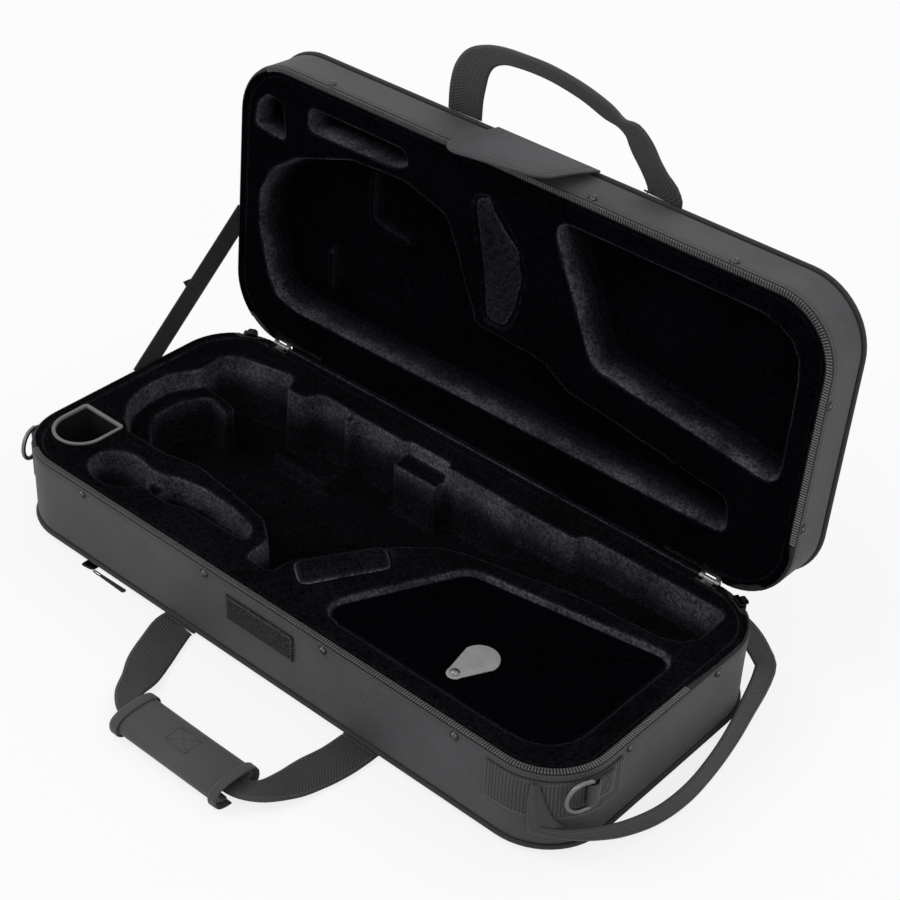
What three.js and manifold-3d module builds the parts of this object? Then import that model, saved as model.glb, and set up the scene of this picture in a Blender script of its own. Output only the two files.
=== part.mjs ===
// Soft alto saxophone case, standing open: a nylon covered shell in two halves with moulded plush
// inserts, a zip all round, webbing handles and a stay strap that stops the lid just past upright.
// Millimetres, +Z up, +X along the length, +Y from the front to the hinge side.
// The origin is the middle of the face that the case rests on.
import * as THREE from 'three';
import { mergeVertices } from 'three/addons/utils/BufferGeometryUtils.js';
import Module from 'manifold-3d';

const wasm = await Module();
wasm.setup();

// Outer size of the case
const caseLength = 640;
const caseWidth = 282;
const cornerRadius = 58;
const partingHeight = 85.5;
const lidHeight = 50;
const lidOpenDegrees = 93.4;

// Layers from the outside in
const coverThickness = 1.6;
const frameThickness = 4.6;
const fitGap = 0.3;
const footGap = 4.3;

// Zip: a tape lying on the rim and a flat coil on the tape
const zipTapeWidth = 8;
const zipTapeThickness = 0.8;
const zipCoilWidth = 5;
const zipCoilThickness = 1.5;
const zipInset = 0.5;
const coilEndDegrees = 36;

// Piping sewn into the base's bottom seam and the lid's top seam
const pipingRadius = 2.3;
const pipingReach = 1.8;

// Plush inserts
const plushRise = 1;
const plushGap = 4;
const flangeThickness = 1.5;
const bodyFloor = 16;
const bodyStep = 6;
const bodyLedge = 62;
const blockTop = 68;
const wallRibTop = 78;
const channelFloor = 46;
const channelShelf = 70;
const neckFloor = 58;
const neckSaddle = 68;
const mouthpieceFloor = 44;
const spacerFloor = 40;
const recessRadius = 9;
const smallRadius = 5;
const recessDraft = 4;
const shallowDraft = 2;
const ridgeHeight = 15;
const ridgeWidth = 8;
const padGrooveWidth = 2.5;
const padGrooveDepth = 8;
const padCrown = 4;
const padDrawShare = 0.3;
const padShoulderShare = 0.1;
const padShoulderDrop = 1;
const cutOverrun = 2;

// Recesses of the lid, measured from its plush face
const lidBodyDepth = 32;
const lidTrapezeDepth = 34;
const lidNeckDepth = 22;
const lidCupDepth = 20;
const lidPocketDepth = 35;
const lidRidgeHeight = 12;

// Accessory compartment panel and its pull tab
const panelThickness = 5;
const panelDrop = 4.5;
const panelGap = 2.5;
const panelLedge = 7;
const tabThickness = 1.8;
const tabLength = 50;
const tabWidth = 33;
const tabTipWidth = 14;
const tabTurnDegrees = 8;
const tabStudRadius = 4.2;
const tabStudHeight = 1.6;

// Reed cup
const cupWidth = 48;
const cupLength = 50;
const cupDepth = 44;
const cupWall = 2.6;
const cupRimWidth = 2.6;
const cupRimHeight = 1.6;

// Webbing
const webbingWidth = 38;
const webbingThickness = 1.5;
const stayWidth = 25;
const stayThickness = 1.2;
const stayOverlap = 7;
const bandTop = 76;

// Carrying handles on the front
const handleMiddle = 13.4;
const handleSpread = 106.7;
const baseHandleReach = 104.5;
const lidHandleReach = 68.7;
const handleRootGap = 1.2;
const handleRootBack = 0.35;
const anchorLength = 6;
const gripLength = 124;
const gripWidth = 46;
const gripThickness = 22;
const gripHoleWidth = 28;
const gripHoleHeight = 6;
const gripSlit = 7;
const floorGap = 0.2;

// Carrying handle on the right end
const endHandleRootBack = 48;
const endHandleReach = 78;
const endHandleLow = 10.5;
const endHandleHeight = 20;
const endHandleThickness = 2.8;
const endHandleThinShare = 0.8;

// Rivets, D-rings, flap and patch
const rivetRadius = 4;
const rivetHeight = 2.4;
const rivetDrop = 6;
const rivetShoulderShare = 0.75;
const ringWire = 4;
const ringHeight = 32;
const ringReach = 26;
const ringMiddle = 64;
const ringDegrees = 21;
const ringCorner = 3;
const ringClearance = 0.4;
const keeperWall = 1.4;
const keeperTail = 24;
const flapWidth = 110;
const flapLength = 74;
const flapThickness = 1.8;
const flapCorner = 20;
const flapBow = 8;
const flapDrift = 6;
const flapLiftDegrees = 3;
const patchLength = 78;
const patchHeight = 26;
const patchThickness = 1.8;
const patchMiddle = 57;

// Hinges
const hingeFromCorner = 10;
const hingeInset = 1;
const hingeDrop = 2;
const hingeLength = 20;
const knuckleRadius = 2.4;
const knuckleGap = 0.4;
const pinRadius = 1;
const pinClearance = 0.25;
const leafThickness = 1.2;
const leafRise = 0.25;
const leafLength = 60;
const leafDepth = 16;

// Zip sliders and their pulls
const sliderDegrees = 27;
const sliderLength = 14;
const sliderLug = 1.4;
const pullOut = 2.6;
const pullLength = 17;
const pullWidth = 6;
const pullThickness = 1.4;
const pullKnuckle = 1.9;
const pullPin = 0.8;
const pullClearance = 0.35;

// Pocket on the underside
const pocketInset = 11;
const pocketZipWidth = 6;
const pocketZipReach = 230;
const pocketSliderLength = 14;
const pocketSliderWidth = 17.4;
const pocketSliderHeight = 1.6;
const pocketSliderIn = 21;
const pocketPullLength = 42;
const pocketPullWidth = 5;
const pocketPullThickness = 1.2;

// How finely round shapes are cut
const cornerSteps = 8;
const filletSteps = 3;
const roundSides = 16;
const pipingSides = 8;
const rivetSides = 10;
const pullSides = 12;
const holeSteps = 2;
const flapRows = 12;
const flapColumns = 8;
const strapSteps = 32;
const weldDistance = 1e-4;
const lineWaveShare = 1e-5;

// Outlines of the base insert, x as shares of half the length and y as shares of half the width
const bodyRecessShares = [
  [-0.78, -0.39], [-0.64, -0.385], [-0.52, -0.325], [-0.37, -0.37], [-0.225, -0.425],
  [-0.15, -0.555], [-0.06, -0.595], [0.085, -0.10], [0.19, 0.12], [0.25, 0.18], [0.25, 0.735],
  [-0.15, 0.755], [-0.53, 0.775],
  [-0.55, 0.665], [-0.62, 0.65], [-0.65, 0.80], [-0.85, 0.70], [-0.88, 0.625], [-0.87, 0.42],
  [-0.92, 0.22], [-0.92, 0], [-0.895, -0.17], [-0.84, -0.31],
];
const ledgeInnerShares = [
  [-0.83, -0.12], [-0.70, -0.36], [-0.70, 0.30], [-0.82, 0.39], [-0.862, 0.20], [-0.862, 0],
];
const ledgeOuterShares = [
  [-0.86, -0.42], [-0.72, -0.48], [-0.72, 0.42], [-0.90, 0.46], [-0.97, 0.22], [-0.97, -0.05],
  [-0.93, -0.25],
];
const bodyStepShares = [
  [-0.60, -0.45], [-0.10, -0.70], [0.10, -0.50], [0.12, 0.10], [-0.14, 0.21], [-0.60, 0.21],
];
const blockShares = [[-0.19, 0.64], [-0.03, 0.64], [-0.03, 0.79], [-0.19, 0.79]];
const wallRibShares = [[-0.41, 0.70], [-0.385, 0.70], [-0.385, 0.80], [-0.41, 0.80]];
const channelShares = [
  [0.17, 0.10], [0.25, 0.18], [0.40, 0.255], [0.48, 0.30], [0.50, 0.42], [0.82, 0.46],
  [0.90, 0.50], [0.90, 0.815], [0.43, 0.815], [0.43, 0.74], [0.17, 0.735],
];
const shelfShares = [
  [0.45, 0.29], [0.61, 0.35], [0.82, 0.385], [0.89, 0.46], [0.86, 0.55], [0.47, 0.50],
];
const spacerShares = [[-0.147, -0.75], [-0.06, -0.75], [-0.05, -0.50], [-0.155, -0.50]];
const neckShares = [
  [-0.56, -0.66], [-0.54, -0.515], [-0.44, -0.47], [-0.315, -0.485], [-0.225, -0.53],
  [-0.185, -0.66], [-0.30, -0.655], [-0.40, -0.665], [-0.46, -0.72], [-0.53, -0.72],
];
const saddleShares = [[-0.64, -0.74], [-0.50, -0.69], [-0.50, -0.54], [-0.64, -0.57]];
const mouthpieceCentreShares = [-0.672, -0.70];
const mouthpieceSizeShares = [0.095, 0.165];
const cupCentreShares = [-0.884, -0.585];
const panelShares = [[0.125, -0.785], [0.898, -0.785], [0.898, 0.292], [0.31, 0.075]];
const panelRadiusShares = [0.31, 0.76, 0.24, 0.38];
const padShares = [[-0.045, -0.575], [0.085, -0.095], [0.155, -0.20], [0.03, -0.70]];
const baseRidgeShares = [[[-0.58, 0.455], [-0.385, 0.455]], [[-0.38, 0.44], [-0.38, 0.80]]];
const tabStudShares = [0.537, -0.645];

// Outlines of the lid insert in its closed place, in the same shares
const lidBodyShares = [
  [-0.78, -0.41], [-0.565, -0.575], [-0.37, -0.60], [-0.21, -0.50], [-0.165, -0.30],
  [-0.075, 0.12], [0.10, 0.14], [0.17, 0.16], [0.25, 0.27], [0.40, 0.31], [0.78, 0.43],
  [0.80, 0.665], [-0.75, 0.695], [-0.83, 0.65], [-0.87, 0.52], [-0.915, 0.17],
  [-0.915, -0.07], [-0.87, -0.26],
];
const lidTrapezeShares = [[0.135, -0.80], [0.91, -0.80], [0.915, 0.20], [0.32, 0.015]];
const lidTrapezeRadiusShares = [0.24, 0.79, 0.24, 0.28];
const lidPadShares = [
  [-0.125, -0.70], [-0.075, -0.755], [0.045, -0.50], [0.07, -0.33], [0.055, -0.10],
  [0.025, 0.055], [-0.045, 0.06], [-0.075, -0.25],
];
const lidNeckShares = [
  [-0.735, -0.80], [-0.38, -0.80], [-0.35, -0.715], [-0.41, -0.665], [-0.735, -0.645],
];
const lidCupShares = [
  [-0.945, -0.52], [-0.935, -0.68], [-0.90, -0.76], [-0.84, -0.75], [-0.82, -0.50],
];
const lidRidgeShares = [
  [[-0.535, -0.52], [-0.535, -0.16]], [[-0.535, -0.13], [-0.39, -0.09]], [[-0.68, 0.22], [-0.675, 0.50]],
];
const lidPocketShares = [[-0.66, 0.18], [-0.42, 0.16], [-0.39, 0.30], [-0.42, 0.48], [-0.65, 0.48]];

// Places round the case, as shares of half the length or half the width
const frontRivetShares = [-0.672, -0.19, 0.238, 0.672];
const sideRivetShares = [-0.41, 0.41];
const bandFrontShare = 0.77;
const leftBandFrontShare = 0.96;
const bandSideShare = 0.47;
const stayBaseShare = 0.14;
const stayLidShare = 0.177;
const gripShiftShare = 0.145;
const flapCentreShare = -0.0031;
const patchCentreShare = 0.0156;

// Handles from root to root: spread, reach and rise as shares, width as a share of the webbing's,
// and thickness in layers of webbing
const baseHandleShares = [
  [-1.00, 0, 0, 1, 1], [-1.00, 0.05, 0, 1, 1], [-0.93, 0.24, 0, 1, 1], [-0.84, 0.45, 0, 1, 1],
  [-0.73, 0.64, 0.25, 0.86, 1.4], [-0.62, 0.86, 0.8, 0.62, 2.2], [-0.49, 0.975, 1, 0.52, 2.5],
  [-0.36, 1, 1, 0.52, 2.5], [0.15, 1, 1, 0.52, 2.5], [0.62, 1, 1, 0.52, 2.5],
  [0.75, 0.98, 1, 0.52, 2.5], [0.86, 0.88, 0.8, 0.62, 2.2], [0.92, 0.67, 0.25, 0.86, 1.4],
  [0.95, 0.45, 0, 1, 1], [0.99, 0.24, 0, 1, 1], [1.00, 0.05, 0, 1, 1], [1.00, 0, 0, 1, 1],
];
const lidHandleShares = [
  [-1.00, 0, 0, 1, 1], [-1.00, 0.07, 0, 1, 1], [-0.995, 0.3, 0, 1, 1], [-0.965, 0.53, 0, 0.97, 1.1],
  [-0.90, 0.73, 0, 0.82, 1.5], [-0.79, 0.88, 0, 0.56, 2.6], [-0.64, 0.97, 0, 0.40, 3.6],
  [-0.45, 1, 0, 0.35, 4], [-0.17, 1, 0, 0.35, 4], [0.17, 0.92, 0, 0.36, 4], [0.42, 0.8, 0, 0.36, 4],
  [0.54, 0.735, 0, 0.22, 4], [0.65, 0.68, 0, 0.5, 2.6], [0.75, 0.53, 0, 0.64, 1.8],
  [0.84, 0.36, 0, 0.62, 1.6], [0.92, 0.21, 0, 0.68, 1.4], [0.97, 0.11, 0, 0.85, 1.1],
  [0.98, 0.05, 0, 1, 1], [0.98, 0, 0, 1, 1],
];
// Path of the end handle: reach past the root, share of half the width, rise towards the root
const endHandleShares = [
  [0, -1.019, 1], [0.05, -1.0195, 1], [0.205, -1.028, 0.97], [0.36, -1.037, 0.85],
  [0.54, -0.986, 0.55], [0.667, -0.837, 0.24], [0.78, -0.61, 0.05], [0.936, -0.319, 0], [1, 0, 0],
  [0.974, 0.319, 0.01], [0.885, 0.61, 0.12], [0.73, 0.858, 0.43], [0.50, 1.014, 0.78],
  [0.31, 1.0426, 0.92], [0.154, 1.025, 0.99], [0.05, 1.006, 1], [0, 1.0045, 1],
];

// Sizes worked out from the ones above
const halfLength = caseLength / 2;
const halfWidth = caseWidth / 2;
const coverTop = partingHeight - zipTapeThickness - zipCoilThickness - 4 * fitGap;
const tapeLow = coverTop + fitGap;
const tapeHigh = tapeLow + zipTapeThickness;
const coilLow = tapeHigh + fitGap;
const coilHigh = coilLow + zipCoilThickness;
const rearRim = partingHeight - 2 * fitGap;
const lidTop = partingHeight + lidHeight;
const frameInset = coverThickness + fitGap;
const seamInset = 2 * pipingRadius - pipingReach + fitGap + coverThickness;
const seamHeight = 2 * pipingRadius + fitGap + coverThickness;
const insertInset = frameInset + frameThickness + fitGap;
const flangeInset = zipInset + zipTapeWidth + fitGap;
const frameBottom = footGap + coverThickness + fitGap;
const insertBottom = frameBottom + frameThickness + fitGap;
const plushTop = coverTop + plushRise;
const lidPlush = plushTop + plushGap;
const lidInsertTop = lidTop - (insertBottom - footGap);
const panelTop = plushTop - panelDrop;
const panelSeat = panelTop - panelThickness - fitGap;
const arcCentreX = halfLength - cornerRadius;
const arcCentreY = halfWidth - cornerRadius;
const hingeY = halfWidth - hingeInset;
const hingeZ = partingHeight - hingeDrop;
const leafY = halfWidth - insertInset - fitGap - leafThickness;
const hingeCentre = arcCentreX - hingeFromCorner;
const leafMiddle = hingeCentre + hingeLength / 2 - leafLength / 2;
const lidOpen = THREE.MathUtils.degToRad(lidOpenDegrees);
const bandLow = bandTop - webbingWidth;
const bandMiddle = bandTop - webbingWidth / 2;
const handlePivot = halfWidth + pipingReach + handleRootGap;
const anchorTop = footGap - 2 * fitGap;
const flapPivot = halfWidth + 2 * fitGap + patchThickness + flapThickness / 2;
const lidSeam = lidTop - pipingRadius;
const pocketFront = halfWidth - pocketInset;
const pocketSliderLow = 2 * floorGap;
const pocketSliderPlace = pocketSliderIn - pocketZipReach;
const endHandleRoot = halfLength - endHandleRootBack;

// Colours and surfaces
const nylon = new THREE.MeshStandardMaterial({ color: 0x3c3c3e, roughness: 0.85 });
const plush = new THREE.MeshStandardMaterial({ color: 0x15151a, roughness: 1 });
const webbing = new THREE.MeshStandardMaterial({ color: 0x2b2b2c, roughness: 0.8 });
const board = new THREE.MeshStandardMaterial({ color: 0x8a7350, roughness: 0.9 });
const zipCloth = new THREE.MeshStandardMaterial({ color: 0x232325, roughness: 0.8 });
const zipTeeth = new THREE.MeshStandardMaterial({ color: 0x3a3a3c, roughness: 0.5 });
const rivetMetal = new THREE.MeshStandardMaterial({ color: 0x2a2a2c, roughness: 0.25, metalness: 1 });
const ringMetal = new THREE.MeshStandardMaterial({ color: 0x55565a, roughness: 0.4, metalness: 1 });
const steel = new THREE.MeshStandardMaterial({ color: 0xb8bcc2, roughness: 0.25, metalness: 1 });
const cupPlastic = new THREE.MeshStandardMaterial({ color: 0x707274, roughness: 0.5 });
const leather = new THREE.MeshStandardMaterial({ color: 0x9a9fa2, roughness: 0.5 });
const gripCloth = new THREE.MeshStandardMaterial({ color: 0x3f3f41, roughness: 0.9 });
const hookTape = new THREE.MeshStandardMaterial({ color: 0x1c1c1e, roughness: 1 });

// The case, and in it the lid turned back about the hinge line, built in its closed place
const product = new THREE.Group();
const lidTurn = new THREE.Group();
lidTurn.position.set(0, hingeY, hingeZ);
lidTurn.rotation.x = -lidOpen;
const lid = new THREE.Group();
lid.position.set(0, -hingeY, -hingeZ);
lidTurn.add(lid);
product.add(lidTurn);

// Makes a solid from corner places and triangles
function bodyOf(places, corners) {
  return new wasm.Manifold(new wasm.Mesh({
    numProp: 3,
    vertProperties: new Float32Array(places),
    triVerts: new Uint32Array(corners),
  }));
}

// Turns a closed three.js geometry into a solid, with its faces turned outwards
function solid(geometry) {
  const bare = geometry.index ? geometry.toNonIndexed() : geometry.clone();
  bare.deleteAttribute('normal');
  bare.deleteAttribute('uv');
  const merged = mergeVertices(bare, weldDistance);
  const corners = merged.index.array;
  const kept = [];
  const turned = [];
  for (let face = 0; face < corners.length; face += 3) {
    const [a, b, c] = [corners[face], corners[face + 1], corners[face + 2]];
    if (a !== b && b !== c && a !== c) {
      kept.push(a, b, c);
      turned.push(a, c, b);
    }
  }
  const body = bodyOf(merged.attributes.position.array, kept);
  return body.volume() > 0 ? body : bodyOf(merged.attributes.position.array, turned);
}

// Makes a solid from points and triangles
function shell(points, faces) {
  const geometry = new THREE.BufferGeometry().setFromPoints(points);
  geometry.setIndex(faces);
  return solid(geometry);
}

// Turns a solid back into a three.js geometry
function geometryOf(body) {
  const mesh = body.getMesh();
  const geometry = new THREE.BufferGeometry();
  geometry.setAttribute('position', new THREE.BufferAttribute(new Float32Array(mesh.vertProperties), 3));
  geometry.setIndex(new THREE.BufferAttribute(new Uint32Array(mesh.triVerts), 1));
  geometry.computeVertexNormals();
  return geometry;
}

// Adds one named piece to a group
function addPiece(name, body, material, parent = product) {
  const mesh = new THREE.Mesh(geometryOf(body), material);
  mesh.name = name;
  parent.add(mesh);
}

// Points of a rounded rectangle round the origin, anticlockwise
function roundedRectangle(length, width, radius, steps = cornerSteps) {
  const points = [];
  [[1, 1], [-1, 1], [-1, -1], [1, -1]].forEach(([signX, signY], corner) => {
    for (let step = 0; step <= steps; step += 1) {
      const angle = (corner + step / steps) * Math.PI / 2;
      points.push(new THREE.Vector2(
        signX * (length / 2 - radius) + radius * Math.cos(angle),
        signY * (width / 2 - radius) + radius * Math.sin(angle),
      ));
    }
  });
  return points;
}

// Outline of the case, moved in from its outer face
function caseOutline(inset) {
  return roundedRectangle(caseLength - 2 * inset, caseWidth - 2 * inset, cornerRadius - inset);
}

// Turns shares of half the length and half the width into points, anticlockwise
function placed(shares) {
  const points = shares.map(([x, y]) => new THREE.Vector2(x * halfLength, y * halfWidth));
  return THREE.ShapeUtils.area(points) < 0 ? points.reverse() : points;
}

// Rounds the corners of a polygon, with one radius or one for each corner
function rounded(points, radii, steps = filletSteps) {
  const out = [];
  points.forEach((corner, index) => {
    const before = points[(index + points.length - 1) % points.length];
    const after = points[(index + 1) % points.length];
    const radius = Array.isArray(radii) ? radii[index] : radii;
    const back = before.clone().sub(corner);
    const ahead = after.clone().sub(corner);
    const half = Math.abs(back.angleTo(ahead)) / 2;
    const reach = Math.min(radius / Math.tan(half), back.length() / 2, ahead.length() / 2);
    const start = corner.clone().add(back.normalize().multiplyScalar(reach));
    const end = corner.clone().add(ahead.normalize().multiplyScalar(reach));
    for (let step = 0; step <= steps; step += 1) {
      const share = step / steps;
      const first = start.clone().lerp(corner, share);
      const second = corner.clone().lerp(end, share);
      out.push(first.lerp(second, share));
    }
  });
  return out.filter((point, index) => point.distanceTo(out[(index + 1) % out.length]) > fitGap / 10);
}

// Moves an anticlockwise outline outwards, or inwards when the distance is negative
function offset(points, distance) {
  return points.map((point, index) => {
    const before = points[(index + points.length - 1) % points.length];
    const after = points[(index + 1) % points.length];
    const along = after.clone().sub(before).normalize();
    return new THREE.Vector2(point.x + along.y * distance, point.y - along.x * distance);
  });
}

// Triangles over an outline. Where points line up and one is left out, the outline is waved by a hair.
function triangles(outline) {
  const wave = (point, index) => point.clone().multiplyScalar(1 + (index % 2 ? 1 : -1) * lineWaveShare);
  const found = THREE.ShapeUtils.triangulateShape(outline.map((point) => point.clone()), []);
  return found.length === outline.length - 2
    ? found
    : THREE.ShapeUtils.triangulateShape(outline.map(wave), []);
}

// An outline drawn in towards its middle
function drawnIn(outline, share) {
  const middle = outline.reduce((sum, point) => sum.add(point), new THREE.Vector2())
    .divideScalar(outline.length);
  return outline.map((point) => point.clone().lerp(middle, share));
}

// A closed body between two outlines with the same number of points, at two heights
function loft(firstPoints, firstHeight, secondPoints, secondHeight) {
  const count = firstPoints.length;
  const points = [
    ...firstPoints.map((point) => new THREE.Vector3(point.x, point.y, firstHeight)),
    ...secondPoints.map((point) => new THREE.Vector3(point.x, point.y, secondHeight)),
  ];
  const faces = [];
  triangles(firstPoints).forEach(([a, b, c]) => faces.push(a, c, b));
  triangles(secondPoints).forEach(([a, b, c]) => faces.push(a + count, b + count, c + count));
  for (let index = 0; index < count; index += 1) {
    const next = (index + 1) % count;
    faces.push(index, next, next + count, index, next + count, index + count);
  }
  return shell(points, faces);
}

// A straight prism over an outline
function prism(outline, low, high) {
  return loft(outline, low, outline, high);
}

// A recess cutter whose walls lean in from the mouth to the floor
function draftedCut(outline, floor, mouth, draft) {
  return loft(offset(outline, -draft), floor, outline, mouth);
}

// A box between two corners
function block(firstCorner, secondCorner) {
  const from = new THREE.Vector3(...firstCorner).min(new THREE.Vector3(...secondCorner));
  const to = new THREE.Vector3(...firstCorner).max(new THREE.Vector3(...secondCorner));
  const size = to.clone().sub(from);
  const middle = from.add(to).multiplyScalar(1 / 2);
  return solid(new THREE.BoxGeometry(...size.toArray()).translate(...middle.toArray()));
}

// A ring between two insets of the case outline
function caseRing(outerInset, innerInset, firstHeight, secondHeight) {
  const low = Math.min(firstHeight, secondHeight) - cutOverrun;
  const high = Math.max(firstHeight, secondHeight) + cutOverrun;
  return prism(caseOutline(outerInset), firstHeight, secondHeight)
    .subtract(prism(caseOutline(innerInset), low, high));
}

// A round rod between two points
function rod(start, end, radius, sides = roundSides) {
  const geometry = new THREE.CylinderGeometry(radius, radius, start.distanceTo(end), sides);
  geometry.applyQuaternion(new THREE.Quaternion().setFromUnitVectors(
    new THREE.Vector3(0, 1, 0),
    end.clone().sub(start).normalize(),
  ));
  geometry.translate(...start.clone().lerp(end, 1 / 2).toArray());
  return solid(geometry);
}

// A tube round a closed path that lies in a plane
function closedTube(path, normal, radius, sides) {
  const count = path.length;
  const corners = [];
  path.forEach((point, index) => {
    const before = path[(index + count - 1) % count];
    const after = path[(index + 1) % count];
    const along = after.clone().sub(before).normalize();
    const out = along.clone().cross(normal);
    for (let side = 0; side < sides; side += 1) {
      const angle = 2 * Math.PI * (side + 1 / 2) / sides;
      corners.push(point.clone()
        .addScaledVector(out, radius * Math.cos(angle))
        .addScaledVector(normal, radius * Math.sin(angle)));
    }
  });
  const faces = [];
  for (let index = 0; index < count; index += 1) {
    for (let side = 0; side < sides; side += 1) {
      const nextSide = (side + 1) % sides;
      const here = index * sides;
      const there = ((index + 1) % count) * sides;
      faces.push(here + side, there + nextSide, here + nextSide);
      faces.push(here + side, there + side, there + nextSide);
    }
  }
  return shell(corners, faces);
}

// A strap carried along a smooth path: each control has a place, a width and a thickness,
// and faceOf gives the way that the flat side looks for a given direction of travel
function strap(controls, faceOf) {
  const curve = new THREE.CatmullRomCurve3(controls.map((control) => control.place), false, 'centripetal');
  const corners = [];
  for (let step = 0; step <= strapSteps; step += 1) {
    const share = step / strapSteps;
    const slot = Math.min(Math.floor(share * (controls.length - 1)), controls.length - 2);
    const blend = share * (controls.length - 1) - slot;
    const width = THREE.MathUtils.lerp(controls[slot].width, controls[slot + 1].width, blend);
    const depth = THREE.MathUtils.lerp(controls[slot].thickness, controls[slot + 1].thickness, blend);
    const along = curve.getTangent(share);
    const across = along.clone().cross(faceOf(along)).normalize();
    const face = across.clone().cross(along).normalize();
    [[-1, -1], [1, -1], [1, 1], [-1, 1]].forEach(([side, up]) => {
      corners.push(curve.getPoint(share)
        .addScaledVector(across, side * width / 2)
        .addScaledVector(face, up * depth / 2));
    });
  }
  const last = strapSteps * 4;
  const faces = [0, 1, 2, 0, 2, 3, last, last + 2, last + 1, last, last + 3, last + 2];
  for (let here = 0; here < last; here += 4) {
    for (let side = 0; side < 4; side += 1) {
      const next = (side + 1) % 4;
      faces.push(here + side, here + 4 + next, here + next);
      faces.push(here + side, here + 4 + side, here + 4 + next);
    }
  }
  return shell(corners, faces);
}

// A thin bent sheet over a grid, with its two faces set apart along one direction
function sheet(rows, columns, pointAt, apart) {
  const front = [];
  const back = [];
  for (let row = 0; row <= rows; row += 1) {
    for (let column = 0; column <= columns; column += 1) {
      const point = pointAt(column / columns, row / rows);
      front.push(point.clone().add(apart));
      back.push(point.clone().sub(apart));
    }
  }
  const size = front.length;
  const at = (row, column) => row * (columns + 1) + column;
  const faces = [];
  const quad = (a, b, c, d) => faces.push(a, b, c, a, c, d);
  for (let row = 0; row < rows; row += 1) {
    for (let column = 0; column < columns; column += 1) {
      const [a, b] = [at(row, column), at(row, column + 1)];
      const [c, d] = [at(row + 1, column + 1), at(row + 1, column)];
      quad(a, b, c, d);
      quad(a + size, d + size, c + size, b + size);
    }
  }
  for (let row = 0; row < rows; row += 1) {
    const [a, b] = [at(row, 0), at(row + 1, 0)];
    const [c, d] = [at(row, columns), at(row + 1, columns)];
    quad(a, b, b + size, a + size);
    quad(c, c + size, d + size, d);
  }
  for (let column = 0; column < columns; column += 1) {
    const [a, b] = [at(0, column), at(0, column + 1)];
    const [c, d] = [at(rows, column), at(rows, column + 1)];
    quad(a, a + size, b + size, b);
    quad(c, d, d + size, c + size);
  }
  return shell([...front, ...back], faces);
}

function subtractAll(body, cutters) {
  return cutters.reduce((rest, cutter) => rest.subtract(cutter), body);
}

function addAll(body, pieces) {
  return pieces.reduce((whole, piece) => whole.add(piece), body);
}

// Room round the hinges, cut out of every layer near the axis
function hingeNotches() {
  const reach = hingeLength / 2 + 2 * fitGap;
  const room = knuckleRadius + 2 * fitGap;
  return [-1, 1].map((side) => block(
    [side * hingeCentre - reach, hingeY - room - 2 * knuckleRadius, hingeZ - room],
    [side * hingeCentre + reach, halfWidth + cutOverrun, hingeZ + 2 * room],
  ));
}

// Slots for the hinge leaves, between the frame and the insert
function leafSlots(low, high) {
  const reach = leafLength / 2 + fitGap;
  return [-1, 1].map((side) => block(
    [side * leafMiddle - reach, leafY - fitGap, low],
    [side * leafMiddle + reach, halfWidth - frameInset - frameThickness, high],
  ));
}

// Piping round one seam, or the groove that it lies in
function piping(height, radius) {
  const inset = pipingRadius - pipingReach;
  const path = caseOutline(inset).map((point) => new THREE.Vector3(point.x, point.y, height));
  return closedTube(path, new THREE.Vector3(0, 0, 1), radius, pipingSides);
}

// Nylon cover of one half: a closed end, walls and a rear strip that reaches towards the other half
function coverBody(closedEnd, openEnd, rearEnd) {
  const towards = Math.sign(openEnd - closedEnd);
  const hollow = prism(caseOutline(coverThickness),
    closedEnd + towards * coverThickness, openEnd + towards * cutOverrun);
  const rear = block(
    [-arcCentreX, halfWidth - coverThickness, openEnd - towards * coverThickness],
    [arcCentreX, halfWidth, rearEnd],
  );
  const groove = piping(closedEnd + towards * pipingRadius, pipingRadius + fitGap);
  const seam = caseRing(0, seamInset, closedEnd, closedEnd + towards * seamHeight);
  const body = addAll(prism(caseOutline(0), closedEnd, openEnd).subtract(hollow), [rear, seam]);
  return subtractAll(body, [groove, ...hingeNotches()]);
}

// Stiff inner shell of one half, with its edge cut back behind the thick seam of the cover
function frameBody(closedEnd, openEnd) {
  const towards = Math.sign(openEnd - closedEnd);
  const hollow = prism(caseOutline(frameInset + frameThickness),
    closedEnd + towards * frameThickness, openEnd + towards * cutOverrun);
  const edge = caseRing(0, seamInset + fitGap,
    closedEnd - towards * cutOverrun, closedEnd + towards * (seamHeight - coverThickness));
  return subtractAll(prism(caseOutline(frameInset), closedEnd, openEnd), [hollow, edge, ...hingeNotches()]);
}

// The part of the rim that has no zip, behind the given reach
function rearGap(reach) {
  return block([-reach, arcCentreY, 0], [reach, halfWidth + cutOverrun, lidTop]);
}

// Tape and coil of one half of the zip
function addZip(prefix, tape, coil, parent) {
  const coilReach = arcCentreX + cornerRadius * Math.sin(THREE.MathUtils.degToRad(coilEndDegrees));
  const tapeRing = caseRing(zipInset, zipInset + zipTapeWidth, ...tape);
  const coilRing = caseRing(zipInset, zipInset + zipCoilWidth, ...coil);
  addPiece(`${prefix}_zip_tape`, tapeRing.subtract(rearGap(arcCentreX + fitGap)), zipCloth, parent);
  addPiece(`${prefix}_zip_coil`, coilRing.subtract(rearGap(coilReach)), zipTeeth, parent);
}

// Domed head of a rivet that stands out along a direction
function rivet(centre, direction, radius = rivetRadius, height = rivetHeight) {
  const profile = [
    new THREE.Vector2(0, 0),
    new THREE.Vector2(radius, 0),
    new THREE.Vector2(radius * rivetShoulderShare, height * rivetShoulderShare),
    new THREE.Vector2(0, height),
  ];
  const geometry = new THREE.LatheGeometry(profile, rivetSides);
  geometry.applyQuaternion(new THREE.Quaternion().setFromUnitVectors(new THREE.Vector3(0, 1, 0), direction));
  geometry.translate(...centre.toArray());
  return solid(geometry);
}

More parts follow.
